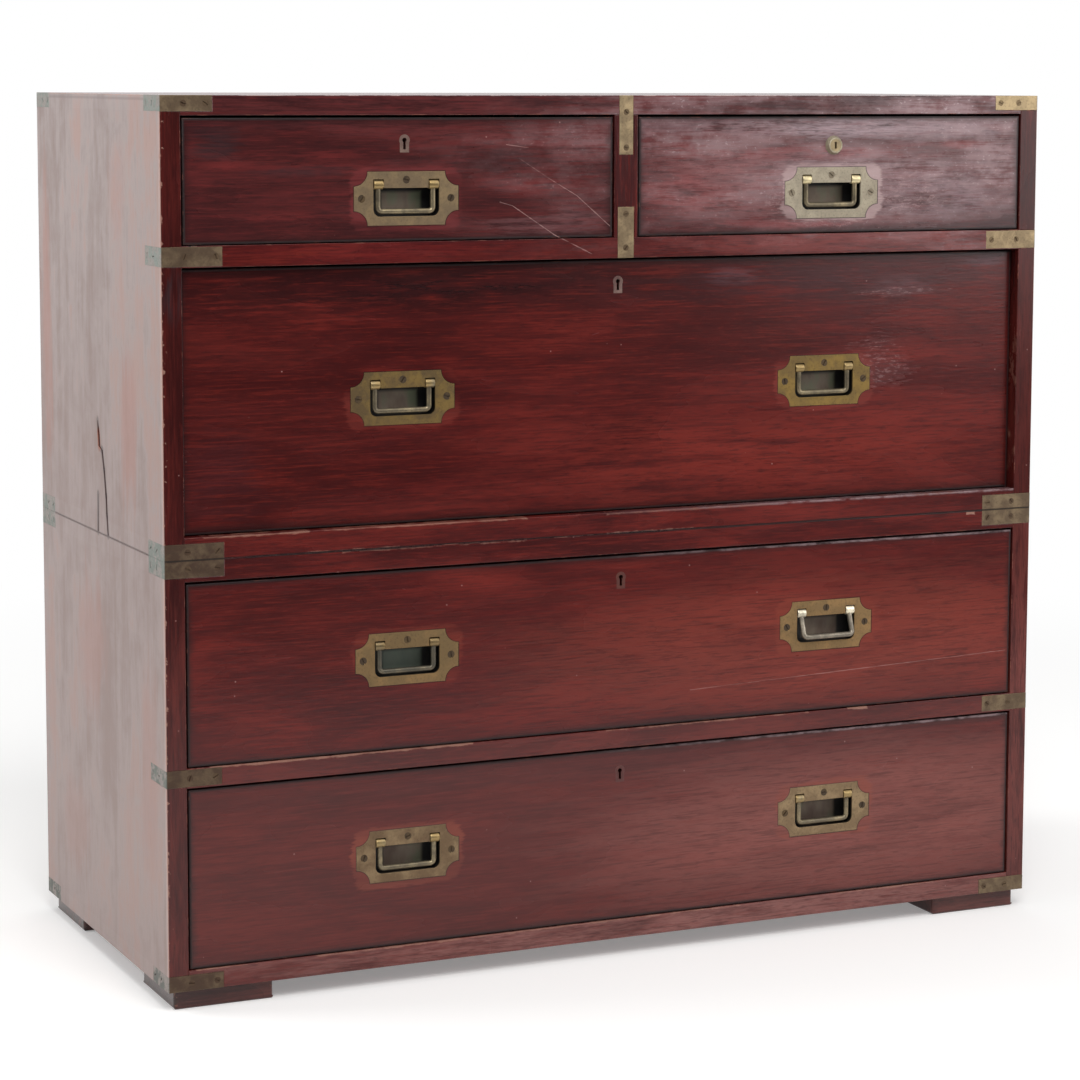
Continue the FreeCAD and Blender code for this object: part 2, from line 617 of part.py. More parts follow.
def make_round_lock():
    """A round lock whose plug turns a cam. The origin is on the front's face, at its upper edge."""
    centre = "-cylinder_drop"
    back = "front_board + nut_gauge"
    nose = document.addObject("Part::Cone", "lock_nose")
    nose.Placement = Placement(Vector(), Rotation(Vector(1, 0, 0), 90))
    bind(nose, Radius1="nose_radius", Radius2="nose_face_radius", Height="cylinder_proud", z=centre)
    barrel = rod("lock_barrel", "y", "barrel_radius", "0", back, z=centre)
    bore = rod("lock_bore", "y", "plug_radius + plug_clearance", "-cylinder_proud - 1", f"{back} + 1", z=centre)
    body = cut("round_lock_body", fuse("round_lock_blank", nose, barrel), bore)
    nut = cut("round_nut", rod("round_nut_blank", "y", "nut_radius", "front_board", back, z=centre),
              rod("round_nut_bore", "y", "barrel_radius", "0", f"{back} + 1", z=centre))
    cam_front = f"{back} + cam_gap"
    plug = fuse("lock_plug_blank",
                rod("plug_core", "y", "plug_radius", "-cylinder_proud", cam_front, z=centre),
                block("lock_cam", "-cam_width / 2", "cam_length", cam_front, f"{cam_front} + cam_gauge",
                      f"{centre} - cam_width / 2", f"{centre} + cam_width / 2"))
    keyway = block("lock_keyway", "-keyway_half", "keyway_half", "-cylinder_proud - 1", "keyway_depth",
                   f"{centre} - keyway_rise", f"{centre} + keyway_rise")
    room = rod("round_lock_room", "y", "barrel_radius", "-1", "front_board + 1", z=centre)
    mortise = block("cam_mortise", "-cam_width / 2 - mortise_room", "cam_sweep + mortise_room",
                    f"{cam_front} - mortise_room", f"{cam_front} + cam_gauge + mortise_room",
                    "-1", "mortise_depth")
    return {"fixed": [body, nut], "moving": cut("lock_plug", plug, keyway), "room": [room], "mortise": mortise}


# ---------------------------------------------------------------------------------------------- drawers

def make_drawer_side(name, drawer):
    """A drawer's left side, with dovetails at its front end."""
    body = document.addObject("PartDesign::Body", name)
    board = outline(body, name + "_outline", "YZ_Plane", [
        (drawer["tail_ends"], drawer["runner"]),
        (drawer["end"], drawer["runner"]),
        (drawer["end"], drawer["side_top"]),
        (drawer["tail_ends"], drawer["side_top"]),
    ])
    pad = body.newObject("PartDesign::Pad", name + "_board")
    pad.Profile = board
    bind(pad, Length="drawer_side")
    pin_space = outline(body, name + "_pin_outline", "YZ_Plane", [
        (f"{drawer['tail_ends']} - 1", f"{drawer['runner']} - pin_root"),
        (drawer["inside"], f"{drawer['runner']} - pin_root - tail_taper"),
        (drawer["inside"], f"{drawer['runner']} + pin_root + tail_taper"),
        (f"{drawer['tail_ends']} - 1", f"{drawer['runner']} + pin_root"),
    ])
    pocket = body.newObject("PartDesign::Pocket", name + "_pin_space")
    pocket.Profile = pin_space
    pocket.Type = 1
    pocket.Midplane = True
    spaces = body.newObject("PartDesign::LinearPattern", name + "_pin_spaces")
    spaces.Originals = [pocket]
    spaces.Direction = (pin_space, ["V_Axis"])
    bind(spaces, Length=f"{drawer['side_top']} - {drawer['runner']}")
    spaces.Occurrences = drawer["tails"] + 1
    body.Tip = spaces
    bind(body, x=f"{drawer['front_west']} + side_relief")
    return body


def make_drawer(name, west, east, floor, ceiling, setback, tails):
    """The places that a drawer's pieces share, each as an expression."""
    face = f"(front_y + {setback})"
    runner = f"({floor} + running_gap)"
    top = f"({ceiling} - head_gap)"
    return {
        "name": name,
        "face": face,
        "inside": f"({face} + front_board)",
        "tail_ends": f"({face} + front_lap)",
        "end": "(back_panel_y - stop_gap)",
        "foot": f"({floor} + foot_gap)",
        "runner": runner,
        "top": top,
        "side_top": f"({top} - side_drop)",
        "front_west": f"({west} + side_gap)",
        "front_east": f"({east} - side_gap)",
        "middle": f"(({west} + {east}) / 2)",
        "panel_foot": f"({runner} + bottom_lift)",
        "ceiling": ceiling,
        "tails": tails,
    }


def build_drawer(drawer, handles, handle_sink, lock, lock_x, moving_label):
    """All of a drawer's sub-parts. handles maps each bail's name to its place and whether it hangs out."""
    name = drawer["name"]
    side_in = "side_relief + drawer_side"
    panel_top = f"({drawer['panel_foot']} + drawer_bottom)"

    west_side = make_drawer_side(name + "_side", drawer)
    east_side = mirrored(name + "_east_side", west_side, Vector(1, 0, 0), x=drawer["middle"])
    bottom = block(name + "_bottom",
                   f"{drawer['front_west']} + {side_in} - bottom_groove",
                   f"{drawer['front_east']} - ({side_in}) + bottom_groove",
                   f"{drawer['inside']} - bottom_groove", drawer["end"], drawer["panel_foot"], panel_top)
    back = block(name + "_back", f"{drawer['front_west']} + {side_in}", f"{drawer['front_east']} - ({side_in})",
                 f"{drawer['end']} - drawer_back", drawer["end"], panel_top, f"{drawer['side_top']} - back_drop")

    plates = []
    screws = []
    rooms = []
    holes = []
    plate_top = f"(({drawer['foot']} + {drawer['top']} + plate_height) / 2 - {handle_sink})"
    for label, (x, hangs_out) in handles.items():
        at = (x, drawer["face"], plate_top)
        plates.append(placed(f"{label}_plate", handle["plate"], *at))
        screws.append(placed(f"{label}_screws", handle["screws"], *at))
        rooms.append(placed(f"{label}_room", handle["blank"], *at))
        holes.append(placed(f"{label}_holes", handle["holes"], *at))
        turn = Rotation(Vector(1, 0, 0), -document.Sizes.bail_swing) if hangs_out else Rotation()
        hung = placed(f"{label}_hung", bail, x, f"{drawer['face']} + knuckle_sink",
                      f"{plate_top} - knuckle_drop", turn=turn)
        deliver(label, hung)

    at_top_edge = (lock_x, drawer["face"], drawer["top"])
    lock_room = [placed(f"{name}_lock_room_{number}", room, *at_top_edge)
                 for number, room in enumerate(lock["room"], start=1)]
    lock_pieces = [placed(f"{name}_lock_piece_{number}", piece, *at_top_edge)
                   for number, piece in enumerate(lock["fixed"], start=1)]

    front = block(name + "_front_blank", drawer["front_west"], drawer["front_east"], drawer["face"],
                  drawer["inside"], drawer["foot"], drawer["top"])
    front = cut(name + "_front", front, west_side, east_side, bottom, group(name + "_handle_rooms", *rooms),
                group(name + "_handle_holes", *holes), *lock_room)
    deliver(name + "_drawer_front", front)
    deliver(name + "_drawer_box", cut(name + "_west_side", west_side, bottom),
            cut(name + "_east_side", east_side, bottom), back)
    deliver(name + "_drawer_bottom", bottom)
    deliver(name + "_handle_plates", *plates)
    deliver(name + "_handle_screws", *screws)
    deliver(name + "_lock", *lock_pieces)
    deliver(moving_label, placed(f"{name}_lock_moving", lock["moving"], *at_top_edge))
    return placed(f"{name}_mortise", lock["mortise"], lock_x, drawer["face"], drawer["ceiling"])


# ---------------------------------------------------------------------------------------------- checks and output

def check_document():
    """Stop if any object failed or any sub-part has no valid shape."""
    for item in document.Objects:
        if "Invalid" in item.State or "Error" in item.State:
            raise RuntimeError(f"{item.Name} failed: {item.State}")
    for piece in sub_parts:
        if piece.Shape.isNull() or not piece.Shape.isValid() or not piece.Shape.Solids:
            raise RuntimeError(f"{piece.Label} has no valid solid")


def export_sub_parts():
    """Write each sub-part to a file of its own name."""
    os.makedirs("parts", exist_ok=True)
    for piece in sub_parts:
        piece.Shape.exportStep(f"parts/{piece.Label}.step")


# ---------------------------------------------------------------------------------------------- the chest

make_sheet()
make_worked_values()

strap_screw = make_screw("strap_screw", "strap_screw_head")
strap_screw_hole = make_screw("strap_screw_hole", "strap_screw_head", "screw_clearance", slotted=False)
handle_screw = make_screw("handle_screw", "handle_screw_head")
handle_screw_hole = make_screw("handle_screw_hole", "handle_screw_head", "screw_clearance", slotted=False)
handle = make_handle()
bail = make_bail()
key_lock = make_key_lock()
round_lock = make_round_lock()

# drawers and what belongs to them
small_left_mortise = build_drawer(
    make_drawer("small_left", "inner_west", "divider_west", "small_floor", "small_ceiling", "small_setback", 3),
    {"small_left_bail": ("-handle_offset", False)},
    "small_handle_sink", key_lock, "-small_lock_offset", "small_left_lock_bolt")
small_right_mortise = build_drawer(
    make_drawer("small_right", "divider_east", "inner_east", "small_floor", "small_ceiling", "small_setback", 3),
    {"small_right_bail": ("handle_offset", False)},
    "small_handle_sink", round_lock, "small_lock_offset", "small_right_lock_plug")
deep_mortise = build_drawer(
    make_drawer("deep", "inner_west", "inner_east", "deep_floor", "deep_ceiling", "deep_setback", 6),
    {"deep_left_bail": ("-handle_offset", False), "deep_right_bail": ("handle_offset", False)},
    "deep_handle_sink", key_lock, "long_lock_offset", "deep_lock_bolt")
upper_long_mortise = build_drawer(
    make_drawer("upper_long", "inner_west", "inner_east", "third_floor", "third_ceiling", "long_setback", 4),
    {"upper_long_left_bail": ("-handle_offset", False), "upper_long_right_bail": ("handle_offset", True)},
    "third_handle_sink", key_lock, "long_lock_offset", "upper_long_lock_bolt")
lower_long_mortise = build_drawer(
    make_drawer("lower_long", "inner_west", "inner_east", "fourth_floor", "fourth_ceiling", "long_setback", 4),
    {"lower_long_left_bail": ("-handle_offset", False), "lower_long_right_bail": ("handle_offset", False)},
    "fourth_handle_sink", key_lock, "long_lock_offset", "lower_long_lock_bolt")

# straps of the upper section
top_strap = make_strap("top_strap", "top_strap_reach", "crown - top_lap", "crown")
rail_strap = make_strap("upper_rail_strap", "rail_strap_reach",
                        "small_floor - strap_margin - rail_strap_height", "small_floor - strap_margin")
upper_seam_strap = make_strap("upper_seam_strap", "seam_strap_reach", "seam", "seam + upper_seam_lap")
head_plate = make_post_plate("head_plate", "post_plate_width", "crown - post_plate_length", "crown",
                             ["crown - post_screw_drop", "crown - post_plate_length + post_screw_inset"])
root_plate = make_post_plate("root_plate", "root_plate_width", "deep_ceiling", "small_floor + root_plate_rise",
                             ["deep_ceiling + upper_rail / 2", "small_floor + root_plate_rise - post_screw_inset"])
upper_corner_straps = [top_strap, upper_seam_strap]
upper_blanks = group("upper_strap_blanks", *all_round("upper", upper_corner_straps, [rail_strap], "blank"),
                     head_plate["blank"], root_plate["blank"])
upper_holes = group("upper_strap_holes", *all_round("upper", upper_corner_straps, [rail_strap], "holes"),
                    head_plate["holes"], root_plate["holes"])
deliver("upper_straps", cut("upper_straps", upper_blanks, upper_holes))
deliver("upper_strap_screws", *all_round("upper", upper_corner_straps, [rail_strap], "screws"),
        head_plate["screws"], root_plate["screws"])

# straps of the lower section
lower_seam_strap = make_strap("lower_seam_strap", "seam_strap_reach", "seam - lower_seam_lap", "seam")
low_rail_strap = make_strap("low_rail_strap", "low_strap_reach",
                            "third_floor - strap_margin - low_rail_strap_height", "third_floor - strap_margin")
base_strap = make_strap("base_strap", "low_strap_reach", "foot_height", "foot_height + base_lap")
lower_corner_straps = [lower_seam_strap, base_strap]
lower_blanks = group("lower_strap_blanks", *all_round("lower", lower_corner_straps, [low_rail_strap], "blank"))
lower_holes = group("lower_strap_holes", *all_round("lower", lower_corner_straps, [low_rail_strap], "holes"))
deliver("lower_straps", cut("lower_straps", lower_blanks, lower_holes))
deliver("lower_strap_screws", *all_round("lower", lower_corner_straps, [low_rail_strap], "screws"))

# locating dowels, and the room for them in the upper section
peg_place = {"x": "outer_west + peg_inset", "y": "front_y + peg_inset"}
peg = rod("peg", "z", "peg_diameter / 2", "seam - peg_depth", "seam + peg_rise", **peg_place)
peg_room = rod("peg_room", "z", "peg_diameter / 2 + peg_clearance", "seam - 1",
               "seam + peg_rise + peg_clearance", **peg_place)
west_pegs = group("west_pegs", peg, back_image("back_peg", peg))
west_peg_rooms = group("west_peg_rooms", peg_room, back_image("back_peg_room", peg_room))
pegs = deliver("section_pegs", west_pegs, east_image("east_pegs", west_pegs))
peg_rooms = group("peg_rooms", west_peg_rooms, east_image("east_peg_rooms", west_peg_rooms))

# upper section
upper_back = make_back_panel("upper_back_panel", "deep_floor", "small_ceiling")
deliver("upper_back_panel", cut("upper_back_panel", upper_back, upper_blanks, upper_holes))
upper_side = block("upper_side_blank", "outer_west", "inner_west", "front_y", "back_y",
                   "seam + upper_seam_lap", "crown - top_lap")
upper_side = cut("upper_side", upper_side, upper_back, upper_blanks, upper_holes)
deliver("upper_sides", upper_side, east_image("upper_east_side", upper_side))
top_blank = lapped_board("top", "small_ceiling", "crown", "crown - top_lap", "crown")
deliver("upper_top_board", cut("top", top_blank, upper_back, upper_blanks, upper_holes,
                               small_left_mortise, small_right_mortise))
upper_bottom_blank = lapped_board("upper_bottom", "seam", "deep_floor", "seam", "seam + upper_seam_lap")
deliver("upper_bottom_board", cut("upper_bottom", upper_bottom_blank, upper_back, upper_blanks, upper_holes,
                                  peg_rooms))
divider = block("divider_blank", "divider_west", "divider_east", "front_y", "back_panel_y",
                "small_floor", "small_ceiling")
deliver("centre_divider", cut("divider", divider, upper_blanks, upper_holes))
upper_front_rail, upper_frame = make_rail_frame(
    "upper_rail", "deep_ceiling", "small_floor",
    [("inner_west + runner_width", "divider_west - runner_width"),
     ("divider_east + runner_width", "inner_east - runner_width")])
deliver("upper_rail_frame", cut("upper_rail_front", upper_front_rail, upper_blanks, upper_holes, deep_mortise),
        *upper_frame)

# lower section
lower_back = make_back_panel("lower_back_panel", "fourth_floor", "third_ceiling")
deliver("lower_back_panel", cut("lower_back_panel", lower_back, lower_blanks, lower_holes))
lower_side = block("lower_side_blank", "outer_west", "inner_west", "front_y", "back_y",
                   "foot_height + base_lap", "seam - lower_seam_lap")
lower_side = cut("lower_side", lower_side, lower_back, lower_blanks, lower_holes)
deliver("lower_sides", lower_side, east_image("lower_east_side", lower_side))
lower_top_blank = lapped_board("lower_top", "third_ceiling", "seam", "seam - lower_seam_lap", "seam")
deliver("lower_top_board", cut("lower_top", lower_top_blank, lower_back, lower_blanks, lower_holes, pegs,
                               upper_long_mortise))
base_blank = lapped_board("base", "foot_height", "fourth_floor", "foot_height", "foot_height + base_lap")
deliver("lower_bottom_board", cut("base", base_blank, lower_back, lower_blanks, lower_holes))
lower_front_rail, lower_frame = make_rail_frame(
    "lower_rail", "fourth_ceiling", "third_floor", [("inner_west + runner_width", "inner_east - runner_width")])
deliver("lower_rail_frame", cut("lower_rail_front", lower_front_rail, lower_blanks, lower_holes,
                                lower_long_mortise), *lower_frame)

# feet
foot_block = block("foot_block", "outer_west + foot_inset", "outer_west + foot_inset + foot_width",
                   "front_y + foot_inset", "front_y + foot_inset + foot_width", "0", "foot_height")
foot = rounded("foot", foot_block, "foot_round", lambda edge: abs(edge.CenterOfMass.z) < 0.01)
west_feet = group("west_feet", foot, back_image("back_foot", foot))
deliver("feet", west_feet, east_image("east_feet", west_feet))

document.recompute()
check_document()
export_sub_parts()
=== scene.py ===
import math
import random

import bmesh
import bpy
from mathutils import Matrix, Vector


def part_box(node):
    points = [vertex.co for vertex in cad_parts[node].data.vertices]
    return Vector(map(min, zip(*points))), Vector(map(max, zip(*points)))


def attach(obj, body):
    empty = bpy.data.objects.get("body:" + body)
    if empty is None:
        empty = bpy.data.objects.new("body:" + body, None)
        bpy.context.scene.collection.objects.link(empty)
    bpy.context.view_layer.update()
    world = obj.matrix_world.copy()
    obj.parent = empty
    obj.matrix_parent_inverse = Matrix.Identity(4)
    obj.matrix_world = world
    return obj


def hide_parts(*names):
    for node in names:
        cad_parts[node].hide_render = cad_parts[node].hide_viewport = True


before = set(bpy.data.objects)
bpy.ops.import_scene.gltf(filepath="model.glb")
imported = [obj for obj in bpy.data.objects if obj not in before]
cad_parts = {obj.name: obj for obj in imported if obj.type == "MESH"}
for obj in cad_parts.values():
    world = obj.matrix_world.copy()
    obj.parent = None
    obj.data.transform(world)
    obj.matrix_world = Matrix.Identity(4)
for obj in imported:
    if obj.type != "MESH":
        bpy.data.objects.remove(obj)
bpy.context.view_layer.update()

# ----------------------------------------------------------------------------------------------------- places
# Metres, +Z up, front towards -Y, taken from the frame wherever a node gives them.

TOP_LOW, TOP_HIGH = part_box("upper_top_board")
WEST, EAST = TOP_LOW.x, TOP_HIGH.x
FRONT, BACK = TOP_LOW.y, TOP_HIGH.y
CROWN = TOP_HIGH.z
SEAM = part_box("upper_bottom_board")[0].z
# a plane just before the drawers' backs, which are 10 mm thick
DRAWER_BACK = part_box("deep_drawer_box")[1].y - 0.0103

BAILS = {
    "small_left": ["small_left_bail"],
    "small_right": ["small_right_bail"],
    "deep": ["deep_left_bail", "deep_right_bail"],
    "upper_long": ["upper_long_left_bail", "upper_long_right_bail"],
    "lower_long": ["lower_long_left_bail", "lower_long_right_bail"],
}
LOOSE_BAIL, LOOSE_ANGLE = "upper_long_right_bail", 20.0
PLATE_WIDTH, PLATE_HEIGHT, PLATE_NOTCH = 0.1115, 0.0534, 0.0145
PLATE_SCREW_INSET, PLATE_SCREW_ROOM = 0.0082, 0.005
CUP_DROP, CUP_HALF, CUP_FLOOR = 0.0040, (0.0185, 0.0075), 0.0145
PIVOT_DROP, PIVOT_SINK = 0.0130, 0.0032
LEG_SPREAD, BAR_DROP = 0.0293, 0.0265
ROD, ROD_FLATTENING, CORNER = 0.0028, 0.94, 0.0042
KNUCKLE, KNUCKLE_WEST, KNUCKLE_EAST, KNUCKLE_ROUND = 0.00485, 0.0243, 0.0346, 0.0010
PIN, PIN_END = 0.0016, 0.0364

# how far use has rounded the edges, and the shortest edge that is rounded
BOARD_ARRIS, DRAWER_ARRIS, FOOT_ROUND = 0.0007, 0.0009, 0.0035
STRAP_ARRIS, PLATE_ARRIS = 0.0003, 0.0004
SHORTEST_EDGE = 0.004

BACK_BOARDS, BACK_GROOVE = 7, 0.0016

# marks on the left side, as (y, z), and the (height, reach) of chips in the front left corner edge
SPLIT = [(0.0060, 0.5656), (0.0030, 0.5524), (0.0011, 0.5392), (-0.0085, 0.5361),
         (-0.0154, 0.5163), (-0.0213, 0.4902), (-0.0233, 0.4708), (-0.0268, 0.4500)]
SPLIT_WIDTHS, SPLIT_DEPTH = (0.0005, 0.0036, 0.0034, 0.0022, 0.0020, 0.0022, 0.0020, 0.0016), 0.0040
SHORT_SPLIT = [(0.0072, 0.4890), (0.0088, 0.4500)]
SHORT_SPLIT_WIDTHS, SHORT_SPLIT_DEPTH = (0.0004, 0.0014), 0.0025
EDGE_CHIPS = [(0.843, 0.0030), (0.812, 0.0016), (0.769, 0.0024), (0.7160, 0.0022), (0.676, 0.0013),
              (0.631, 0.0018), (0.585, 0.0012), (0.541, 0.0020), (0.503, 0.0012), (0.392, 0.0014),
              (0.331, 0.0018), (0.243, 0.0013), (0.176, 0.0012), (0.118, 0.0016), (0.079, 0.0026),
              (0.056, 0.0020), (0.041, 0.0024)]
# scratches on the small left drawer, as (start, end, half width, strength); the third runs on over the rail
SCRATCHES = [((-0.1401, 0.7924), (-0.1262, 0.7885), 0.0006, 0.35),
             ((-0.1262, 0.7885), (-0.0787, 0.7578), 0.0005, 0.55),
             ((-0.0787, 0.7578), (-0.0378, 0.7382), 0.0005, 0.60),
             ((-0.1193, 0.8363), (-0.0865, 0.8159), 0.0004, 0.30),
             ((-0.0865, 0.8159), (-0.0545, 0.7976), 0.0005, 0.55),
             ((-0.0545, 0.7976), (-0.0178, 0.7664), 0.0005, 0.50),
             ((-0.1330, 0.8500), (-0.1085, 0.8465), 0.0004, 0.45)]


def plate_middles(drawer):
    """The middle of each of a drawer's handle plates, as (x, z)."""
    low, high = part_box(drawer + "_handle_plates")
    height = (low.z + high.z) / 2
    if len(BAILS[drawer]) == 1:
        return [((low.x + high.x) / 2, height)]
    return [(low.x + PLATE_WIDTH / 2, height), (high.x - PLATE_WIDTH / 2, height)]


# -------------------------------------------------------------------------------------------------- node work

def tone(red, green, blue):
    """A colour as it looks on a screen, from 0 to 255 in each part."""
    def linear(part):
        part /= 255
        return part / 12.92 if part <= 0.04045 else ((part + 0.055) / 1.055) ** 2.4
    return (linear(red), linear(green), linear(blue), 1.0)


def along(axis, amount):
    """Scales that draw a pattern out along one axis."""
    return tuple(1 / amount if letter == axis else 1.0 for letter in "xyz")


class Nodes:
    """The nodes of a material, or of the world, while they are being laid out."""

    def __init__(self, block):
        block.use_nodes = True
        self.block = block
        self.tree = block.node_tree
        self.tree.nodes.clear()

    def add(self, kind, inputs=None, **settings):
        """A node with its settings and its inputs, which are values or other nodes' outputs."""
        node = self.tree.nodes.new(kind)
        for key, value in settings.items():
            setattr(node, key, value)
        for key, value in (inputs or {}).items():
            if isinstance(value, bpy.types.NodeSocket):
                self.tree.links.new(value, node.inputs[key])
            else:
                node.inputs[key].default_value = value
        return node

    def math(self, operation, first, second=0.0, clamp=False):
        return self.add("ShaderNodeMath", {0: first, 1: second}, operation=operation,
                        use_clamp=clamp).outputs[0]

    def chain(self, operation, values):
        whole = values[0]
        for value in values[1:]:
            whole = self.math(operation, whole, value)
        return whole

    def times(self, *values):
        return self.chain("MULTIPLY", values)

    def plus(self, *values):
        return self.chain("ADD", values)

    def most(self, *values):
        return self.chain("MAXIMUM", values)

    def least(self, *values):
        return self.chain("MINIMUM", values)

    def less(self, value, amount):
        return self.math("SUBTRACT", value, amount)

    def off(self, value, centre):
        """How far a value is from a centre, either way."""
        return self.math("ABSOLUTE", self.less(value, centre))

    def length(self, first, second):
        return self.math("SQRT", self.plus(self.times(first, first), self.times(second, second)))

    def step(self, value, low, high, top=1.0):
        """0 at low, top at high and smooth between them."""
        return self.add("ShaderNodeMapRange", {0: value, 1: low, 2: high, 3: 0.0, 4: top},
                        interpolation_type="SMOOTHSTEP").outputs[0]

    def scaled(self, value, low, high):
        """0 to 1 spread over another range."""
        return self.add("ShaderNodeMapRange", {0: value, 1: 0.0, 2: 1.0, 3: low, 4: high}).outputs[0]

    def wavy(self, value, pattern, reach):
        """A value that a pattern moves by up to a reach either way."""
        return self.plus(value, self.scaled(pattern, -reach, reach))

    def blend(self, amount, first, second):
        """A plain value between two others."""
        return self.add("ShaderNodeMix", {0: amount, 2: first, 3: second}, data_type="FLOAT").outputs[0]

    def mix(self, amount, first, second):
        """A colour between two others."""
        return self.add("ShaderNodeMix", {0: amount, 6: first, 7: second}, data_type="RGBA").outputs[2]

    def ramp(self, value, *stops):
        node = self.add("ShaderNodeValToRGB", {0: value})
        marks = node.color_ramp.elements
        while len(marks) < len(stops):
            marks.new(0.5)
        for mark, (position, colour) in zip(marks, stops):
            mark.position = position
            mark.color = colour
        return node.outputs[0]

    def seen(self):
        """1 to the camera, in reflections and through clear pieces, and 0 where light falls."""
        paths = self.add("ShaderNodeLightPath").outputs
        return self.most(paths["Is Camera Ray"], paths["Is Glossy Ray"], paths["Is Transmission Ray"])

    def close(self, shader, end="ShaderNodeOutputMaterial"):
        self.add(end, {0: shader.outputs[0]})
        return self.block


class Finish(Nodes):
    """A material that is built up in layers of colour, roughness and height."""

    def __init__(self, name, seed=0):
        super().__init__(bpy.data.materials.new(name))
        self.place = self.add("ShaderNodeTexCoord").outputs["Object"]
        self.x, self.y, self.z = self.add("ShaderNodeSeparateXYZ", {0: self.place}).outputs
        self.face = (self.x, self.z)
        self.shift = tuple((seed * step) % 1.7 for step in (0.37, 0.61, 0.83))

    def lay(self, amount, colour):
        """Lay an amount of a colour over the colours so far."""
        self.colour = self.mix(amount, self.colour, colour)

    def roughen(self, amount):
        self.roughness = self.math("ADD", self.roughness, amount, clamp=True)

    def build_up(self, amount):
        self.height = self.plus(self.height, amount)

    def drawn(self, axis="x", amount=1.0, extra=0.0):
        """The place on the object with patterns drawn out along an axis, away from other boards' patterns."""
        return self.add("ShaderNodeMapping", {0: self.place, 1: tuple(part + extra for part in self.shift),
                                              3: along(axis, amount)}).outputs[0]

    def noise(self, vector, scale, detail, roughness=0.55, distortion=0.0):
        return self.add("ShaderNodeTexNoise", {"Vector": vector, "Scale": scale, "Detail": detail,
                                               "Roughness": roughness, "Distortion": distortion}).outputs[0]

    def worn_edges(self):
        """1 on the faces that stand for rubbed edges."""
        return self.add("ShaderNodeAttribute", attribute_name="worn").outputs["Fac"]

    def past(self, place, middle, half):
        """How far the two parts of a place lie beyond a rectangle's half sizes."""
        return [self.less(self.off(part, centre), reach) for part, centre, reach in zip(place, middle, half)]

    def box_gap(self, place, middle, half):
        """How far outside a rectangle the place is."""
        return self.most(*self.past(place, middle, half))

    def round_gap(self, place, middle, half):
        """The distance from a rectangle, which rounds the corners further out."""
        return self.length(*(self.most(over, 0.0) for over in self.past(place, middle, half)))

    def plate_gap(self, place, middle):
        """How far outside a handle plate's outline, with its hollow corners, the place is."""
        over = self.past(place, middle, (PLATE_WIDTH / 2, PLATE_HEIGHT / 2))
        return self.most(*over, self.less(PLATE_NOTCH, self.length(*over)))

    def line_gap(self, place, start, end):
        """The distance from a straight mark between two points."""
        run = (end[0] - start[0], end[1] - start[1])
        squared = run[0] ** 2 + run[1] ** 2
        over = [self.less(part, first) for part, first in zip(place, start)]
        way = self.math("ADD", self.times(over[0], run[0] / squared), self.times(over[1], run[1] / squared),
                        clamp=True)
        return self.length(*(self.less(part, self.times(way, reach)) for part, reach in zip(over, run)))

    def patch(self, place, middle, half, ragged, rag):
        """1 inside a ragged oval patch and 0 well outside it."""
        over = [self.times(self.less(part, centre), 1 / reach)
                for part, centre, reach in zip(place, middle, half)]
        far = self.plus(self.length(*over), self.times(self.less(ragged, 0.5), rag))
        return self.step(far, 1.25, 0.45)

    def speckle(self, place, scale, chance, size, amount, colour):
        """Lay small round specks in some of a pattern's cells."""
        cells = self.add("ShaderNodeTexVoronoi", {"Vector": place, "Scale": scale}).outputs
        chosen = self.step(self.add("ShaderNodeSeparateColor", {0: cells["Color"]}).outputs[0], *chance)
        self.lay(self.times(self.step(cells["Distance"], *size), chosen, amount), colour)

    def finish(self, lift, **shine):
        """Close the material with its shader, whose relief is up to a lift high."""
        relief = self.add("ShaderNodeBump", {"Strength": 1.0, "Distance": lift, "Height": self.height})
        inputs = {key.replace("_", " "): value for key, value in shine.items()}
        return self.close(self.add("ShaderNodeBsdfPrincipled", {
            "Base Color": self.colour, "Roughness": self.roughness, "Normal": relief.outputs[0], **inputs}))


# ----------------------------------------------------------------------------------------------- stained wood

# darkest, middle and brightest tone of a stained board
CRIMSON = (tone(54, 15, 16), tone(82, 21, 19), tone(112, 33, 26))
PLUM = (tone(48, 21, 23), tone(72, 27, 27), tone(100, 35, 35))
STILE_RED = (tone(48, 14, 14), tone(68, 20, 18), tone(90, 30, 26))
STILE_BROWN = (STILE_RED[0], tone(76, 26, 23), tone(98, 38, 33))
RUSSET = (tone(64, 22, 20), tone(86, 28, 25), tone(106, 40, 34))
FOOT_BROWN = (tone(50, 26, 24), tone(82, 42, 38), tone(102, 56, 50))
RUBBED = tone(140, 84, 68)
BARE = tone(162, 118, 100)
# a dark tone laid both as grime and as painted shade lines
GRIME_AND_SHADE = tone(36, 20, 21)
SMOKE = tone(50, 36, 39)
ASH = tone(96, 74, 80)
ROSE = tone(118, 42, 41)
ROSY = tone(138, 58, 58)
LILAC = tone(154, 128, 130)

# patches on the sides where the stain shows pink, as (middle, half size, strength) in y and z
PINK_STREAKS = [((-0.105, 0.56), (0.030, 0.085), 0.65), ((0.195, 0.66), (0.022, 0.16), 0.65),
                ((0.04, 0.33), (0.05, 0.07), 0.52), ((-0.16, 0.22), (0.03, 0.12), 0.455),
                ((0.10, 0.12), (0.06, 0.05), 0.39), ((-0.07, 0.80), (0.03, 0.05), 0.26)]


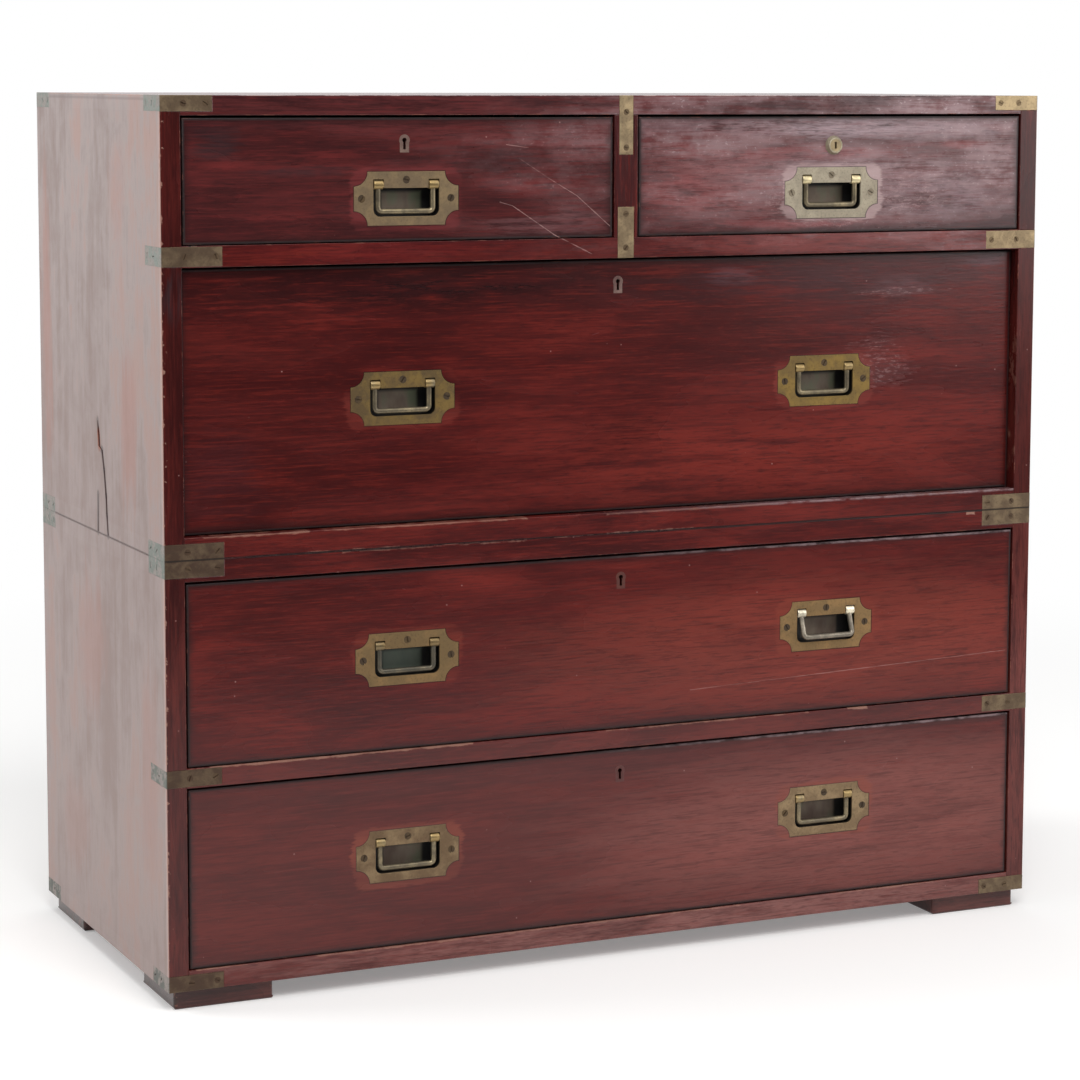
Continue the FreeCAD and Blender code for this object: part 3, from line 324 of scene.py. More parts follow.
class StainedWood(Finish):
    """Stained and polished hardwood with its grain along one axis."""

    def __init__(self, name, grain, seed):
        super().__init__(name, seed)
        self.grain = grain
        self.lobes = self.noise(self.drawn(grain, 4.5), 20.0, 3.0, 0.55, 0.6)
        self.grains = self.noise(self.drawn(grain, 9.0, 0.3), 62.0, 5.0, 0.74)
        self.dashes = self.noise(self.drawn(grain, 7.0, 0.5), 430.0, 2.0, 0.6)
        self.fibres = self.noise(self.drawn(grain, 28.0, 0.9), 560.0, 2.0, 0.6)
        self.ragged = self.noise(self.drawn(grain, 2.2, 0.7), 110.0, 4.0, 0.7)
        self.edge = self.worn_edges()
        self.at_front = self.times(self.step(self.y, FRONT + 0.018, FRONT + 0.014),
                                   self.step(self.z, CROWN - 0.0006, CROWN - 0.0018))

    def stain(self, tones, lively, streaky, shades):
        """The figure in three tones, its darker and paler patches, and the pores and fibres over them."""
        dark, plain, bright = tones
        figure = self.plus(self.times(self.lobes, 0.55), self.times(self.grains, 0.45))
        reach = 0.19 / lively
        self.colour = self.ramp(self.step(figure, 0.5 - reach, 0.5 + reach),
                                (0.0, dark), (0.5, plain), (1.0, bright))
        uneven = self.scaled(self.grains, 0.5 - streaky / 2, 0.5 + streaky / 2)
        for middle, half, shade, amount in shades:
            spread = self.patch(self.face, middle, half, uneven, 4.5)
            self.lay(self.times(spread, self.step(uneven, 0.30, 0.60, amount)), shade)
        self.lay(self.step(self.dashes, 0.52, 0.70, 0.20 + 0.30 * streaky), dark)
        self.lay(self.step(self.dashes, 0.46, 0.30, 0.30 * lively), bright)
        self.lay(self.step(self.fibres, 0.50, 0.66, 0.42), dark)
        self.lay(self.step(self.fibres, 0.46, 0.32, 0.36), bright)
        self.roughness = self.scaled(self.lobes, 0.20, 0.34)
        self.height = self.plus(self.times(self.dashes, 0.45), self.times(self.grains, 0.45))

    def milky_polish_and_sheen(self, haze_and_sheen):
        """Polish gone cloudy in streaks and flecks, most towards the upper right of the front: partly real
        clouding of the polish and partly a painted reflection of the light.
        """
        bloom_and_sheen = self.noise(self.drawn(self.grain, 1.8, 0.2), 74.0, 4.0, 0.65)
        streaks = self.plus(self.times(self.grains, 0.42), self.times(self.fibres, 0.20),
                            self.times(bloom_and_sheen, 0.38))
        self.milky_and_sheen = self.times(self.step(self.wavy(self.x, self.lobes, 0.35), -0.30, 0.50),
                                self.step(self.wavy(self.z, self.lobes, 0.09), 0.66, 0.88),
                                self.at_front, self.step(streaks, 0.38, 0.60),
                                self.step(self.lobes, 0.28, 0.62, 0.62 * haze_and_sheen))
        # the pale lilac and its flecks are partly a painted reflection of the light
        self.lay(self.milky_and_sheen, LILAC)
        flecks = self.step(self.noise(self.drawn(self.grain, 1.7, 0.2), 300.0, 4.0, 0.7), 0.57, 0.69)
        self.lay(self.times(self.milky_and_sheen, flecks, 0.7), tone(204, 186, 188))

    def crackle(self, patches):
        """Patches where the polish has dried and lifts in flakes."""
        flakes = self.step(self.noise(self.drawn(self.grain, 3.4, 0.2), 440.0, 3.0, 0.65), 0.50, 0.64)
        uneven = self.plus(self.times(self.grains, 0.6), self.times(self.dashes, 0.4))
        for middle, half, amount in patches:
            dry = self.times(self.patch(self.face, middle, half, uneven, 4.0), self.at_front, amount)
            self.lay(self.times(dry, self.scaled(flakes, 0.08, 0.60)), tone(162, 130, 130))
            self.roughen(self.times(dry, 0.20))
            self.build_up(self.times(dry, flakes, 1.2))

    def grime_and_shade_border(self, low, high):
        """Grime and painted shade along the edges of a drawer's face, given by its box."""
        inside = self.box_gap(self.face, ((low.x + high.x) / 2, (low.z + high.z) / 2),
                              ((high.x - low.x) / 2, (high.z - low.z) / 2))
        at_face = self.step(self.y, low.y + 0.0040, low.y + 0.0012)
        spread = self.step(self.plus(inside, self.scaled(self.grains, -0.012, 0.010)), -0.010, -0.001, 0.60)
        self.lay(self.times(spread, at_face), GRIME_AND_SHADE)
        # nearly black line at the very edge: the painted shadow of the gap
        self.lay(self.times(self.step(inside, -0.0034, -0.0008, 0.85), at_face), tone(20, 11, 12))
        self.roughen(self.step(inside, -0.0026, -0.0008, 0.5))

    def halo(self, middle, shade, strength):
        """Stain rubbed away round a handle plate, and a painted shadow line at the plate's edge."""
        core = (PLATE_WIDTH / 2 - 0.012, PLATE_HEIGHT / 2 - 0.012)
        ring = self.wavy(self.round_gap(self.face, middle, core), self.grains, 0.012)
        ring = self.step(self.wavy(ring, self.dashes, 0.005), 0.0180, 0.0135)
        self.lay(self.times(ring, self.step(self.lobes, 0.34, 0.66, strength), self.at_front), shade)
        # painted shadow along the plate's edge
        line = self.step(self.plate_gap(self.face, middle), 0.0011, 0.0002, 0.8)
        self.lay(self.times(line, self.at_front), GRIME_AND_SHADE)

    def scratch(self, start, end, width, strength):
        gap = self.wavy(self.line_gap(self.face, start, end), self.dashes, 0.0006)
        mark = self.step(gap, width, width * 0.3)
        mark = self.times(mark, self.step(self.grains, 0.34, 0.54, strength), self.at_front)
        self.lay(mark, tone(172, 130, 124))
        self.roughen(self.times(mark, 0.3))
        self.build_up(self.times(mark, -1.5))

    def wear(self, chips):
        """Edges rubbed through the stain and chips down to the bare wood."""
        self.worn = self.times(self.edge, self.step(self.ragged, 0.54, 0.66, 0.75))
        self.lay(self.worn, RUBBED)
        for middle, half, strength in chips:
            spot = self.wavy(self.box_gap(self.face, middle, half), self.ragged, 0.0032)
            spot = self.times(self.step(spot, 0.0004, -0.0008, strength), self.at_front)
            self.worn = self.most(self.worn, spot)
            self.lay(spot, BARE)

    def dust_and_sheen_strip(self, height):
        """Wear, dusting and a painted sheen that show pale along an upper edge, more towards the right."""
        strip = self.step(self.wavy(self.z, self.ragged, 0.0012), height - 0.0030, height - 0.0012)
        strip = self.times(strip, self.step(self.x, -0.10, 0.30), self.step(self.ragged, 0.34, 0.60, 0.75))
        self.lay(strip, tone(142, 120, 122))

    def bleached_with_glare(self):
        """The outer sides: light-faded stain painted paler as glare, a greyish pink with upright streaks."""
        def upright(amount, scale, detail, roughness, start=0.0):
            drawn = self.add("ShaderNodeMapping", {0: self.place, 1: (start, start, start),
                                                   3: along("z", amount)})
            return self.noise(drawn.outputs[0], scale, detail, roughness, 0.2)

        broad = upright(3.0, 9.0, 3.0, 0.6)
        streak = upright(9.0, 60.0, 5.0, 0.72, 0.3)
        hair = upright(9.0, 420.0, 2.0, 0.6)
        mottle = self.noise(self.place, 26.0, 4.0, 0.6, 0.4)
        figure = self.plus(self.times(broad, 0.46), self.times(streak, 0.30), self.times(mottle, 0.24))
        self.colour = self.ramp(self.step(figure, 0.38, 0.62),
                                (0.0, tone(140, 116, 109)), (0.35, tone(154, 135, 130)),
                                (0.65, tone(164, 146, 142)), (1.0, tone(172, 138, 128)))
        place = (self.y, self.z)
        for middle, half, strength in PINK_STREAKS:
            self.lay(self.times(self.patch(place, middle, half, streak, 2.6), strength), tone(172, 116, 102))
        self.lay(self.step(hair, 0.58, 0.72, 0.22), tone(112, 88, 82))
        self.lay(self.step(streak, 0.60, 0.72, 0.30), tone(128, 112, 112))
        # painted shade: the sides grow darker downwards, as their glare fades lower down
        self.lay(self.step(self.z, 0.84, 0.50, 0.24), tone(124, 90, 80))
        self.lay(self.step(self.z, 0.60, 0.0, 0.22), tone(120, 92, 84))
        self.speckle(self.place, 70.0, (0.88, 0.92), (0.10, 0.05), 0.7, tone(84, 62, 60))
        west = self.step(self.x, EAST, WEST)
        # painted shadow along the splits, wider than the cut
        for line in (SPLIT, SHORT_SPLIT):
            for start, end in zip(line, line[1:]):
                gap = self.wavy(self.line_gap(place, start, end), hair, 0.0008)
                self.lay(self.times(self.step(gap, 0.0058, 0.0022, 0.75), west), tone(74, 54, 50))
        fresh = self.step(self.line_gap(place, SPLIT[1], SPLIT[2]), 0.0080, 0.0020, 0.8)
        self.lay(self.times(fresh, west), tone(150, 78, 46))
        # the east side is laid darker: less faded by light and without the west side's painted glare
        self.lay(self.times(self.step(self.x, -0.4, 0.4), 0.62), tone(104, 56, 52))
        self.lay(self.times(self.edge, self.step(self.ragged, 0.36, 0.56, 0.65)), tone(178, 128, 110))
        arris = self.wavy(self.y, self.ragged, 0.0030)
        self.lay(self.step(arris, FRONT + 0.0065, FRONT + 0.0020, 0.55), tone(196, 160, 152))
        joint = self.plus(self.off(self.z, SEAM), self.scaled(broad, -0.0008, 0.0012))
        self.lay(self.step(joint, 0.0020, 0.0007, 0.75), tone(78, 60, 58))
        # a painted shade line just below the crown's edge
        self.lay(self.step(self.off(self.z, CROWN - 0.0040), 0.0020, 0.0004, 0.4), tone(104, 88, 86))
        self.roughness = 0.38
        self.height = self.plus(self.times(streak, 0.3), self.times(hair, 0.3))

    def outer_faces(self):
        """The joint's line and the rubbed crown on the front, the sides' fading and painted glare, and corner
        chips.
        """
        joint = self.step(self.wavy(self.off(self.z, SEAM), self.grains, 0.0006), 0.0017, 0.0007, 0.85)
        self.lay(self.times(joint, self.step(self.lobes, 0.30, 0.50)), tone(24, 11, 11))
        crown = self.times(self.edge, self.step(self.z, CROWN - 0.0022, CROWN - 0.0010))
        self.lay(self.times(crown, self.step(self.ragged, 0.46, 0.60, 0.7)), tone(176, 152, 146))
        front = (self.colour, self.roughness, self.height)
        self.bleached_with_glare()
        at_side = self.step(self.off(self.x, 0.0), EAST - 0.0010, EAST - 0.0003)
        self.colour = self.mix(at_side, front[0], self.colour)
        self.roughness = self.blend(at_side, front[1], self.roughness)
        self.height = self.blend(at_side, front[2], self.height)
        corner = self.plus(self.length(self.less(self.x, WEST), self.less(self.y, FRONT)),
                           self.scaled(self.noise(self.place, 130.0, 3.0, 0.7), 0.0155, -0.0135))
        self.lay(self.step(corner, 0.0008, -0.0008, 0.6), tone(172, 130, 116))

    def polished(self, shine):
        self.roughen(self.times(self.worn, 0.25))
        self.roughness = self.plus(self.roughness, self.times(self.milky_and_sheen, 0.12))
        self.height = self.less(self.height, self.times(self.worn, 0.8))
        return self.finish(0.00022, Specular_IOR_Level=shine, Coat_Weight=0.15, Coat_Roughness=0.16)


def stained_wood(name, grain, tones, seed, lively=1.0, streaky=1.0, shades=(), haze_and_sheen=1.0, crackle=(),
                 border=None, halos=(), halo_tone=ROSE, halo=0.6, scratches=(), chips=(), dust_and_sheen_edge=None,
                 sides=True, shine=0.32):
    """A board's or a drawer front's material.

    Lively is how strong its figure is, and streaky how far grain and pores break up its shades. Shades,
    crackle and chips are patches as (middle, half size, ...) in x and z; the dusting height is that of an
    upper edge that shows pale with dusting, wear and a painted sheen; sides is for boards that reach the
    chest's outer sides."""
    wood = StainedWood(name, grain, seed)
    wood.stain(tones, lively, streaky, shades)
    wood.milky_polish_and_sheen(haze_and_sheen)
    if crackle:
        wood.crackle(crackle)
    if border:
        wood.grime_and_shade_border(*border)
    for middle in halos:
        wood.halo(middle, halo_tone, halo)
    for mark in scratches:
        wood.scratch(*mark)
    wood.speckle(wood.drawn(), 62.0, (0.76, 0.94), (0.066, 0.034), 0.75, tone(150, 110, 106))
    wood.wear(chips)
    if dust_and_sheen_edge:
        wood.dust_and_sheen_strip(dust_and_sheen_edge)
    if sides:
        wood.outer_faces()
    return wood.polished(shine)


# --------------------------------------------------------------------------------------------- other finishes

def plain_wood(name, grain, seed, boards=None, cross=None):
    """Planed, unpolished lining wood.

    Boards is the width of the boards it is made up of; wood behind the plane cross runs along x instead."""
    f = Finish(name, seed)

    def drawn(amount):
        straight = f.drawn(grain, amount)
        if cross is None:
            return straight
        behind = f.step(f.y, cross - 0.0002, cross + 0.0002)
        return f.add("ShaderNodeMix", {0: behind, 4: straight, 5: f.drawn("x", amount)},
                     data_type="VECTOR").outputs[1]

    rings = f.add("ShaderNodeTexWave", {"Vector": drawn(16.0), "Scale": 9.0, "Distortion": 5.0, "Detail": 3.0,
                                        "Detail Scale": 0.9, "Detail Roughness": 0.6},
                  wave_type="RINGS", rings_direction=grain.upper()).outputs[1]
    streaks = f.noise(drawn(14.0), 90.0, 5.0, 0.65)
    hair = f.noise(drawn(24.0), 420.0, 3.0, 0.6)
    stains = f.noise(f.drawn(), 6.0, 5.0, 0.6)
    figure = f.plus(f.times(rings, 0.07), f.times(streaks, 0.93))
    if boards:
        count = f.math("FLOOR", f.times(f.x, 1 / boards))
        own = f.add("ShaderNodeTexWhiteNoise", {"W": count}, noise_dimensions="1D").outputs["Value"]
        figure = f.wavy(figure, own, 0.12)
    f.colour = f.ramp(f.step(figure, 0.25, 0.75), (0.0, tone(104, 70, 48)), (0.5, tone(140, 100, 70)),
                      (1.0, tone(166, 126, 92)))
    f.lay(f.step(hair, 0.52, 0.72, 0.5), tone(86, 56, 40))
    f.lay(f.step(stains, 0.48, 0.70, 0.5), tone(88, 58, 42))
    f.roughness = f.scaled(stains, 0.55, 0.75)
    f.height = f.plus(f.times(hair, 0.6), f.times(streaks, 0.4))
    return f.finish(0.0003)


def recess_shade_tone(f, depth, cups, verdigris):
    """Painted shade in a plate's recesses: dim on the walls behind its cups and nearly black elsewhere."""
    dusk = f.ramp(f.noise(f.drawn("z", 2.0), 34.0, 3.0), (0.36, tone(86, 68, 58)), (0.52, tone(110, 96, 82)),
                  (0.64, tone(100, 104, 82)))
    dusk = f.mix(f.step(f.x, 0.0, -0.1, verdigris), dusk, tone(72, 88, 78))
    lit = f.step(f.y, depth + CUP_FLOOR - 0.0010, depth + CUP_FLOOR + 0.0010)
    if cups:
        gaps = [f.box_gap(f.face, (x, z - CUP_DROP), CUP_HALF) for x, z in cups]
        lit = f.times(lit, f.step(f.least(*gaps), 0.0050, 0.0))
    return f.mix(lit, tone(17, 14, 13), dusk)


def aged_brass(name, dull, bare, seed, sheen_share=None, depth=None, cups=(), verdigris=0.0, rim=None,
               sides=False, knuckles=None, gloss=(0.36, 0.54), metal=0.55):
    """Old brass: dull brown-green patina, rubbed brighter on edges and in soft patches.

    A painted sheen brightens it towards the upper right by a given share; depth is the plane behind which the
    recesses are painted dark as shade, dim round the middles in cups, the left one also green by verdigris;
    rim is a round lock's (x, z, radius), whose outer ring is painted dark as shade; sides gives the chest's
    sides their pale green patina with a painted sheen that is paler higher up; knuckles is the tone that
    hands have rubbed a bail's knuckles to, brightened further as a painted highlight."""
    f = Finish(name, seed)
    edge = f.worn_edges()
    cloud = f.noise(f.drawn(), 55.0, 4.0, 0.6, 0.3)
    fine = f.noise(f.drawn(), 420.0, 3.0, 0.6)
    brushed = f.noise(f.drawn("x", 9.0), 900.0, 2.0, 0.5)
    rubbed = f.step(f.plus(cloud, f.times(edge, 0.22)), 0.40, 0.68)
    # painted sheen: brighter towards the upper right, where the brass catches the light
    if sheen_share:
        east = f.step(f.x, WEST, EAST)
        high = f.step(f.z, 0.50, 1.05)
        sheen_rise = f.plus(f.times(east, high), f.times(east, 0.17), f.times(high, 0.26))
        rubbed = f.plus(f.times(rubbed, 0.16), f.times(f.plus(f.times(rubbed, 0.5), 0.75), sheen_rise, sheen_share))
    # handle plates are painted brighter towards the east as sheen
    if cups:
        rubbed = f.plus(f.times(rubbed, 0.7), f.step(f.x, -0.3, 0.3, 0.4))
    f.colour = f.mix(rubbed, dull, bare)
    f.lay(f.step(fine, 0.48, 0.75, 0.35), tone(58, 48, 36))
    f.roughness = f.plus(f.scaled(cloud, *gloss), f.times(fine, 0.12))
    shine = f.scaled(rubbed, metal, min(1.0, metal + 0.3))
    if depth is not None:
        # painted shade in the recesses behind the face
        inner = f.step(f.y, depth + 0.0004, depth + 0.0028)
        f.lay(inner, recess_shade_tone(f, depth, cups, verdigris))
        shine = f.times(shine, f.scaled(inner, 1.0, 0.5))
        f.roughness = f.plus(f.roughness, f.times(inner, 0.05))
    if rim:
        # painted shade on the round lock's side ring
        middle_x, middle_z, radius = rim
        out = f.length(f.less(f.x, middle_x), f.less(f.z, middle_z))
        f.lay(f.step(out, radius - 0.0016, radius - 0.0004, 0.85), tone(58, 50, 40))
    # knuckles rubbed bright, with a painted highlight over the rub
    if knuckles:
        f.lay(f.times(edge, f.step(cloud, 0.25, 0.55, 0.9)), knuckles)
    if sides:
        f.lay(f.step(f.off(f.z, SEAM), 0.0013, 0.0005, 0.85), tone(34, 26, 22))
        # pale green patina with painted sheen, paler higher up and darker towards the floor
        bloom_and_sheen = f.mix(f.step(f.z, 0.0, 0.75), tone(76, 78, 70), tone(132, 138, 130))
        blotches = f.step(f.noise(f.drawn(), 90.0, 4.0, 0.65), 0.44, 0.58, 0.75)
        bloom_and_sheen = f.mix(blotches, bloom_and_sheen, tone(152, 138, 132))
        bloom_and_sheen = f.mix(f.step(fine, 0.46, 0.66, 0.35), bloom_and_sheen, tone(96, 104, 92))
        at_side = f.step(f.off(f.x, 0.0), EAST - 0.0010, EAST - 0.0004)
        f.lay(at_side, bloom_and_sheen)
        shine = f.times(shine, f.scaled(at_side, 1.0, 0.15))
    f.height = f.plus(f.times(fine, 0.5), f.times(brushed, 0.4), f.times(cloud, 0.6))
    return f.finish(0.00010, Metallic=shine)


def filed_steel(name):
    """Lightly oiled steel with file marks."""
    f = Finish(name, 7)
    stain = f.noise(f.place, 60.0, 4.0)
    f.colour = f.ramp(stain, (0.3, tone(88, 80, 72)), (0.7, tone(150, 146, 138)))
    f.roughness = f.scaled(stain, 0.3, 0.5)
    f.height = f.noise(f.drawn("x", 10.0), 700.0, 3.0, 0.6)
    return f.finish(0.0001, Metallic=1.0)


# ----------------------------------------------------------------------------------------------------- pieces

def copy_of(node):
    """A merged copy of a node's mesh, ready for its edges to be worked."""
    bm = bmesh.new()
    bm.from_mesh(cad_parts[node].data)
    bmesh.ops.remove_doubles(bm, verts=bm.verts, dist=1e-5)
    bmesh.ops.dissolve_limit(bm, angle_limit=math.radians(0.4), verts=bm.verts, edges=bm.edges)
    return bm


def soften(bm, width, picks, segments=3, rubbed=1.0):
    """Round the sharp edges that picks(edge) accepts, and mark the new faces as worn."""
    worn = bm.faces.layers.float.get("worn") or bm.faces.layers.float.new("worn")
    edges = [edge for edge in bm.edges
             if edge.is_manifold and edge.calc_face_angle(0.0) > math.radians(50) and picks(edge)]
    made = bmesh.ops.bevel(bm, geom=edges, offset=width, offset_type="OFFSET", segments=segments, profile=0.5,
                           affect="EDGES", material=-1, clamp_overlap=True)
    for face in made["faces"]:
        face[worn] = rubbed
    return bm


def add_item(name, bm, finish):
    """An object at the origin made from a finished bmesh."""
    mesh = bpy.data.meshes.new(name)
    bm.to_mesh(mesh)
    bm.free()
    mesh.materials.append(finish)
    item = bpy.data.objects.new(name, mesh)
    bpy.context.scene.collection.objects.link(item)
    return item


def put(name, bm, finish, body, node, even=True):
    """Turn a finished bmesh into a piece that rides on a body and stands for a node.

    Even keeps the shading of its large faces flat beside their rounded edges."""
    for face in bm.faces:
        face.smooth = True
    for edge in bm.edges:
        edge.smooth = edge.is_manifold and edge.calc_face_angle(0.0) < math.radians(38)
    item = add_item(name, bm, finish)
    if even:
        item.modifiers.new("even_normals", "WEIGHTED_NORMAL").keep_sharp = True
    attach(item, body)
    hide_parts(node)


def repaint(node, finish):
    """Give a node that keeps its shape a better finish."""
    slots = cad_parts[node].data.materials
    slots.clear()
    slots.append(finish)


def middle_of(edge):
    return (edge.verts[0].co + edge.verts[1].co) / 2


def lies_at(edge, axis, *planes):
    """Whether both ends of an edge lie in one of some planes across an axis."""
    return any(all(abs(vert.co[axis] - plane) < 0.0001 for vert in edge.verts) for plane in planes)


def carved(bm, cutter):
    """The bmesh with another one cut out of it."""
    items = []
    for label, part in (("board", bm), ("cutter", cutter)):
        mesh = bpy.data.meshes.new(label)
        part.to_mesh(mesh)
        part.free()
        items.append(bpy.data.objects.new(label, mesh))
        bpy.context.scene.collection.objects.link(items[-1])
    cut = items[0].modifiers.new("cut", "BOOLEAN")
    cut.operation = "DIFFERENCE"
    cut.solver = "EXACT"
    cut.object = items[1]
    whole = bmesh.new()
    whole.from_object(items[0], bpy.context.evaluated_depsgraph_get())
    for item in items:
        mesh = item.data
        bpy.data.objects.remove(item)
        bpy.data.meshes.remove(mesh)
    return whole


def add_split(bm, points, widths, depth):
    """A thin four-sided wedge that follows a split in the left side."""
    face = bmesh.ops.create_circle(bm, segments=4, radius=1.0, cap_ends=True)["verts"][0].link_faces[0]
    turn = Vector((WEST, points[0][0], points[0][1]))
    for vert in face.verts:
        vert.co = turn + Vector((vert.co.x * depth, vert.co.y * widths[0], 0.0))
    for (y, z), before, width, last in zip(points[1:], points, widths[1:], widths):
        made = bmesh.ops.extrude_face_region(bm, geom=[face])["geom"]
        face = [part for part in made if isinstance(part, bmesh.types.BMFace)][0]
        bmesh.ops.translate(bm, verts=face.verts, vec=(0.0, y - before[0], z - before[1]))
        bmesh.ops.scale(bm, verts=face.verts, vec=(1.0, width / last, 1.0),
                        space=Matrix.Translation((-WEST, -y, -z)))


def marks_cutter():
    """What wear has taken out of the left side: the split, its short neighbour and the corner's chips."""
    bm = bmesh.new()
    add_split(bm, SPLIT, SPLIT_WIDTHS, SPLIT_DEPTH)
    add_split(bm, SHORT_SPLIT, SHORT_SPLIT_WIDTHS, SHORT_SPLIT_DEPTH)
    for height, reach in EDGE_CHIPS:
        chip = bmesh.ops.create_icosphere(bm, subdivisions=1, radius=reach * 0.55)["verts"]
        bmesh.ops.rotate(bm, verts=chip, cent=(0, 0, 0), matrix=Matrix.Rotation(height * 40, 3, "Z"))
        bmesh.ops.scale(bm, verts=chip, vec=(0.8, 0.9, 2.2))
        bmesh.ops.translate(bm, verts=chip, vec=(WEST - reach * 0.12, FRONT - reach * 0.12, height))
    bmesh.ops.recalc_face_normals(bm, faces=bm.faces)
    return bm


# ---------------------------------------------------------------------------------------------------- carcass

def long_enough(edge):
    return edge.calc_length() > SHORTEST_EDGE


def outer_arris(edge):
    """Accepts a board's edges on the front, the back, the crown and the sides' joint."""
    if not long_enough(edge):
        return False
    if lies_at(edge, 1, FRONT, BACK) or lies_at(edge, 2, CROWN):
        return True
    return lies_at(edge, 0, WEST, EAST) and lies_at(edge, 2, SEAM)


SECTION = {"upper": "upper_section", "lower": "lower_section"}
BOARDS = {
    "upper_top_board": dict(
        grain="x", tones=PLUM, seed=3, haze_and_sheen=1.35,
        shades=[((-0.25, 0.89), (0.25, 0.02), tone(100, 46, 46), 0.7)]),
    "upper_bottom_board": dict(
        grain="x", tones=CRIMSON, seed=5, dust_and_sheen_edge=0.4712,
        chips=[((0.08, 0.4698), (0.10, 0.0006), 0.35), ((0.36, 0.4702), (0.05, 0.0004), 0.35),
               ((-0.22, 0.4704), (0.11, 0.0007), 0.45), ((-0.40, 0.4701), (0.055, 0.0009), 0.5),
               ((0.03, 0.4500), (0.05, 0.0004), 0.6), ((-0.30, 0.4500), (0.05, 0.0003), 0.5)]),
    "upper_rail_frame": dict(
        grain="x", tones=CRIMSON, seed=7, haze_and_sheen=1.5, sides=False, scratches=SCRATCHES[2:3],
        shades=[((-0.28, 0.745), (0.16, 0.014), tone(104, 26, 28), 0.5),
                ((0.26, 0.745), (0.26, 0.014), tone(136, 62, 58), 0.6),
                ((-0.4630, 0.7545), (0.0040, 0.0013), tone(12, 7, 7), 2.0)],
        chips=[((-0.4612, 0.7535), (0.0030, 0.0010), 0.3)]),
    "lower_top_board": dict(
        grain="x", tones=CRIMSON, seed=11,
        chips=[((0.419, 0.4465), (0.0060, 0.0022), 0.8), ((-0.21, 0.4476), (0.10, 0.0004), 0.4)]),
    "lower_bottom_board": dict(
        grain="x", tones=RUSSET, seed=13,
        shades=[((0.1, 0.030), (0.6, 0.03), tone(142, 92, 86), 0.9)],
        chips=[((-0.440, 0.0402), (0.026, 0.0006), 0.6), ((-0.10, 0.0400), (0.24, 0.0008), 0.5),
               ((0.32, 0.0400), (0.06, 0.0008), 0.5)]),
    "lower_rail_frame": dict(
        grain="x", tones=RUSSET, seed=17, sides=False,
        chips=[((-0.31, 0.2424), (0.14, 0.0011), 0.6), ((0.10, 0.2424), (0.12, 0.0006), 0.5),
               ((0.28, 0.2425), (0.012, 0.0012), 0.7)]),
    "centre_divider": dict(grain="z", tones=CRIMSON, seed=19, haze_and_sheen=0.5, sides=False),
    "upper_sides": dict(
        grain="z", tones=STILE_RED, seed=23, haze_and_sheen=0.0, shine=0.25,
        shades=[((-0.484, 0.706), (0.011, 0.022), SMOKE, 1.2),
                ((0.485, 0.60), (0.03, 0.16), tone(96, 38, 32), 0.5),
                ((0.485, 0.82), (0.03, 0.08), tone(46, 10, 8), 0.8)],
        chips=[((0.4732, 0.570), (0.0003, 0.080), 0.40), ((-0.4730, 0.540), (0.0003, 0.055), 0.35)]),
    "lower_sides": dict(
        grain="z", tones=STILE_BROWN, seed=29, shine=0.26,
        shades=[((0.485, 0.22), (0.03, 0.26), tone(128, 64, 57), 0.75)]),
}
CARVED = ("upper_sides", "lower_sides", "upper_bottom_board")
for node, look in BOARDS.items():
    bm = soften(copy_of(node), BOARD_ARRIS, outer_arris)
    if node in CARVED:
        bm = carved(bm, marks_cutter())
    put(node.replace("_", "-"), bm, stained_wood(node + "_wood", **look),
        SECTION.get(node.split("_")[0], "upper_section"), node)

FOOT_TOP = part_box("feet")[1].z


def foot_edge(edge):
    """Accepts a foot's edges, apart from those against the bottom board."""
    return long_enough(edge) and not lies_at(edge, 2, FOOT_TOP)


foot_wood = stained_wood("foot_wood", "x", FOOT_BROWN, 31, haze_and_sheen=0.0, sides=False,
                         shades=[((-0.492, 0.01), (0.008, 0.03), tone(56, 46, 42), 1.6)])
put("block-feet", soften(copy_of("feet"), FOOT_ROUND, foot_edge, segments=4), foot_wood, "lower_section",
    "feet")


def boarded_back(node, count, groove):
    """A back panel's copy with upright V grooves where its boards meet."""
    bm = copy_of(node)
    low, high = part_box(node)
    for index in range(1, count):
        middle = low.x + (high.x - low.x) * index / count
        for offset in (-groove, 0.0, groove):
            bmesh.ops.bisect_plane(bm, geom=bm.verts[:] + bm.edges[:] + bm.faces[:], dist=1e-6,
                                   plane_co=(middle + offset, 0, 0), plane_no=(1, 0, 0))
        sunk = [vert for vert in bm.verts if abs(vert.co.x - middle) < 1e-5 and vert.co.y > high.y - 1e-5]
        bmesh.ops.translate(bm, verts=sunk, vec=(0, -groove, 0))
    return bm


back_low, back_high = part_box("upper_back_panel")
back_wood = plain_wood("back_wood", "z", 2, (back_high.x - back_low.x) / BACK_BOARDS)
for section, body in SECTION.items():
    node = section + "_back_panel"
    put(section + "-back-boards", boarded_back(node, BACK_BOARDS, BACK_GROOVE), back_wood, body, node,
        even=False)
repaint("section_pegs", plain_wood("peg_wood", "z", 9))

# ------------------------------------------------------------------------------------------------------ brass

# the straps and their screws get the painted sheen towards the upper right
strap_brass = aged_brass("strap_brass", tone(74, 55, 42), tone(184, 162, 126), 4, sheen_share=0.9, sides=True)
strap_screw_brass = aged_brass("strap_screw_brass", tone(76, 56, 41), tone(142, 122, 92), 6, sheen_share=0.7,
                               sides=True)
screw_brass = aged_brass("screw_brass", tone(70, 56, 42), tone(98, 80, 58), 6)
pale_screw_brass = aged_brass("pale_screw_brass", tone(118, 106, 88), tone(142, 130, 112), 6)
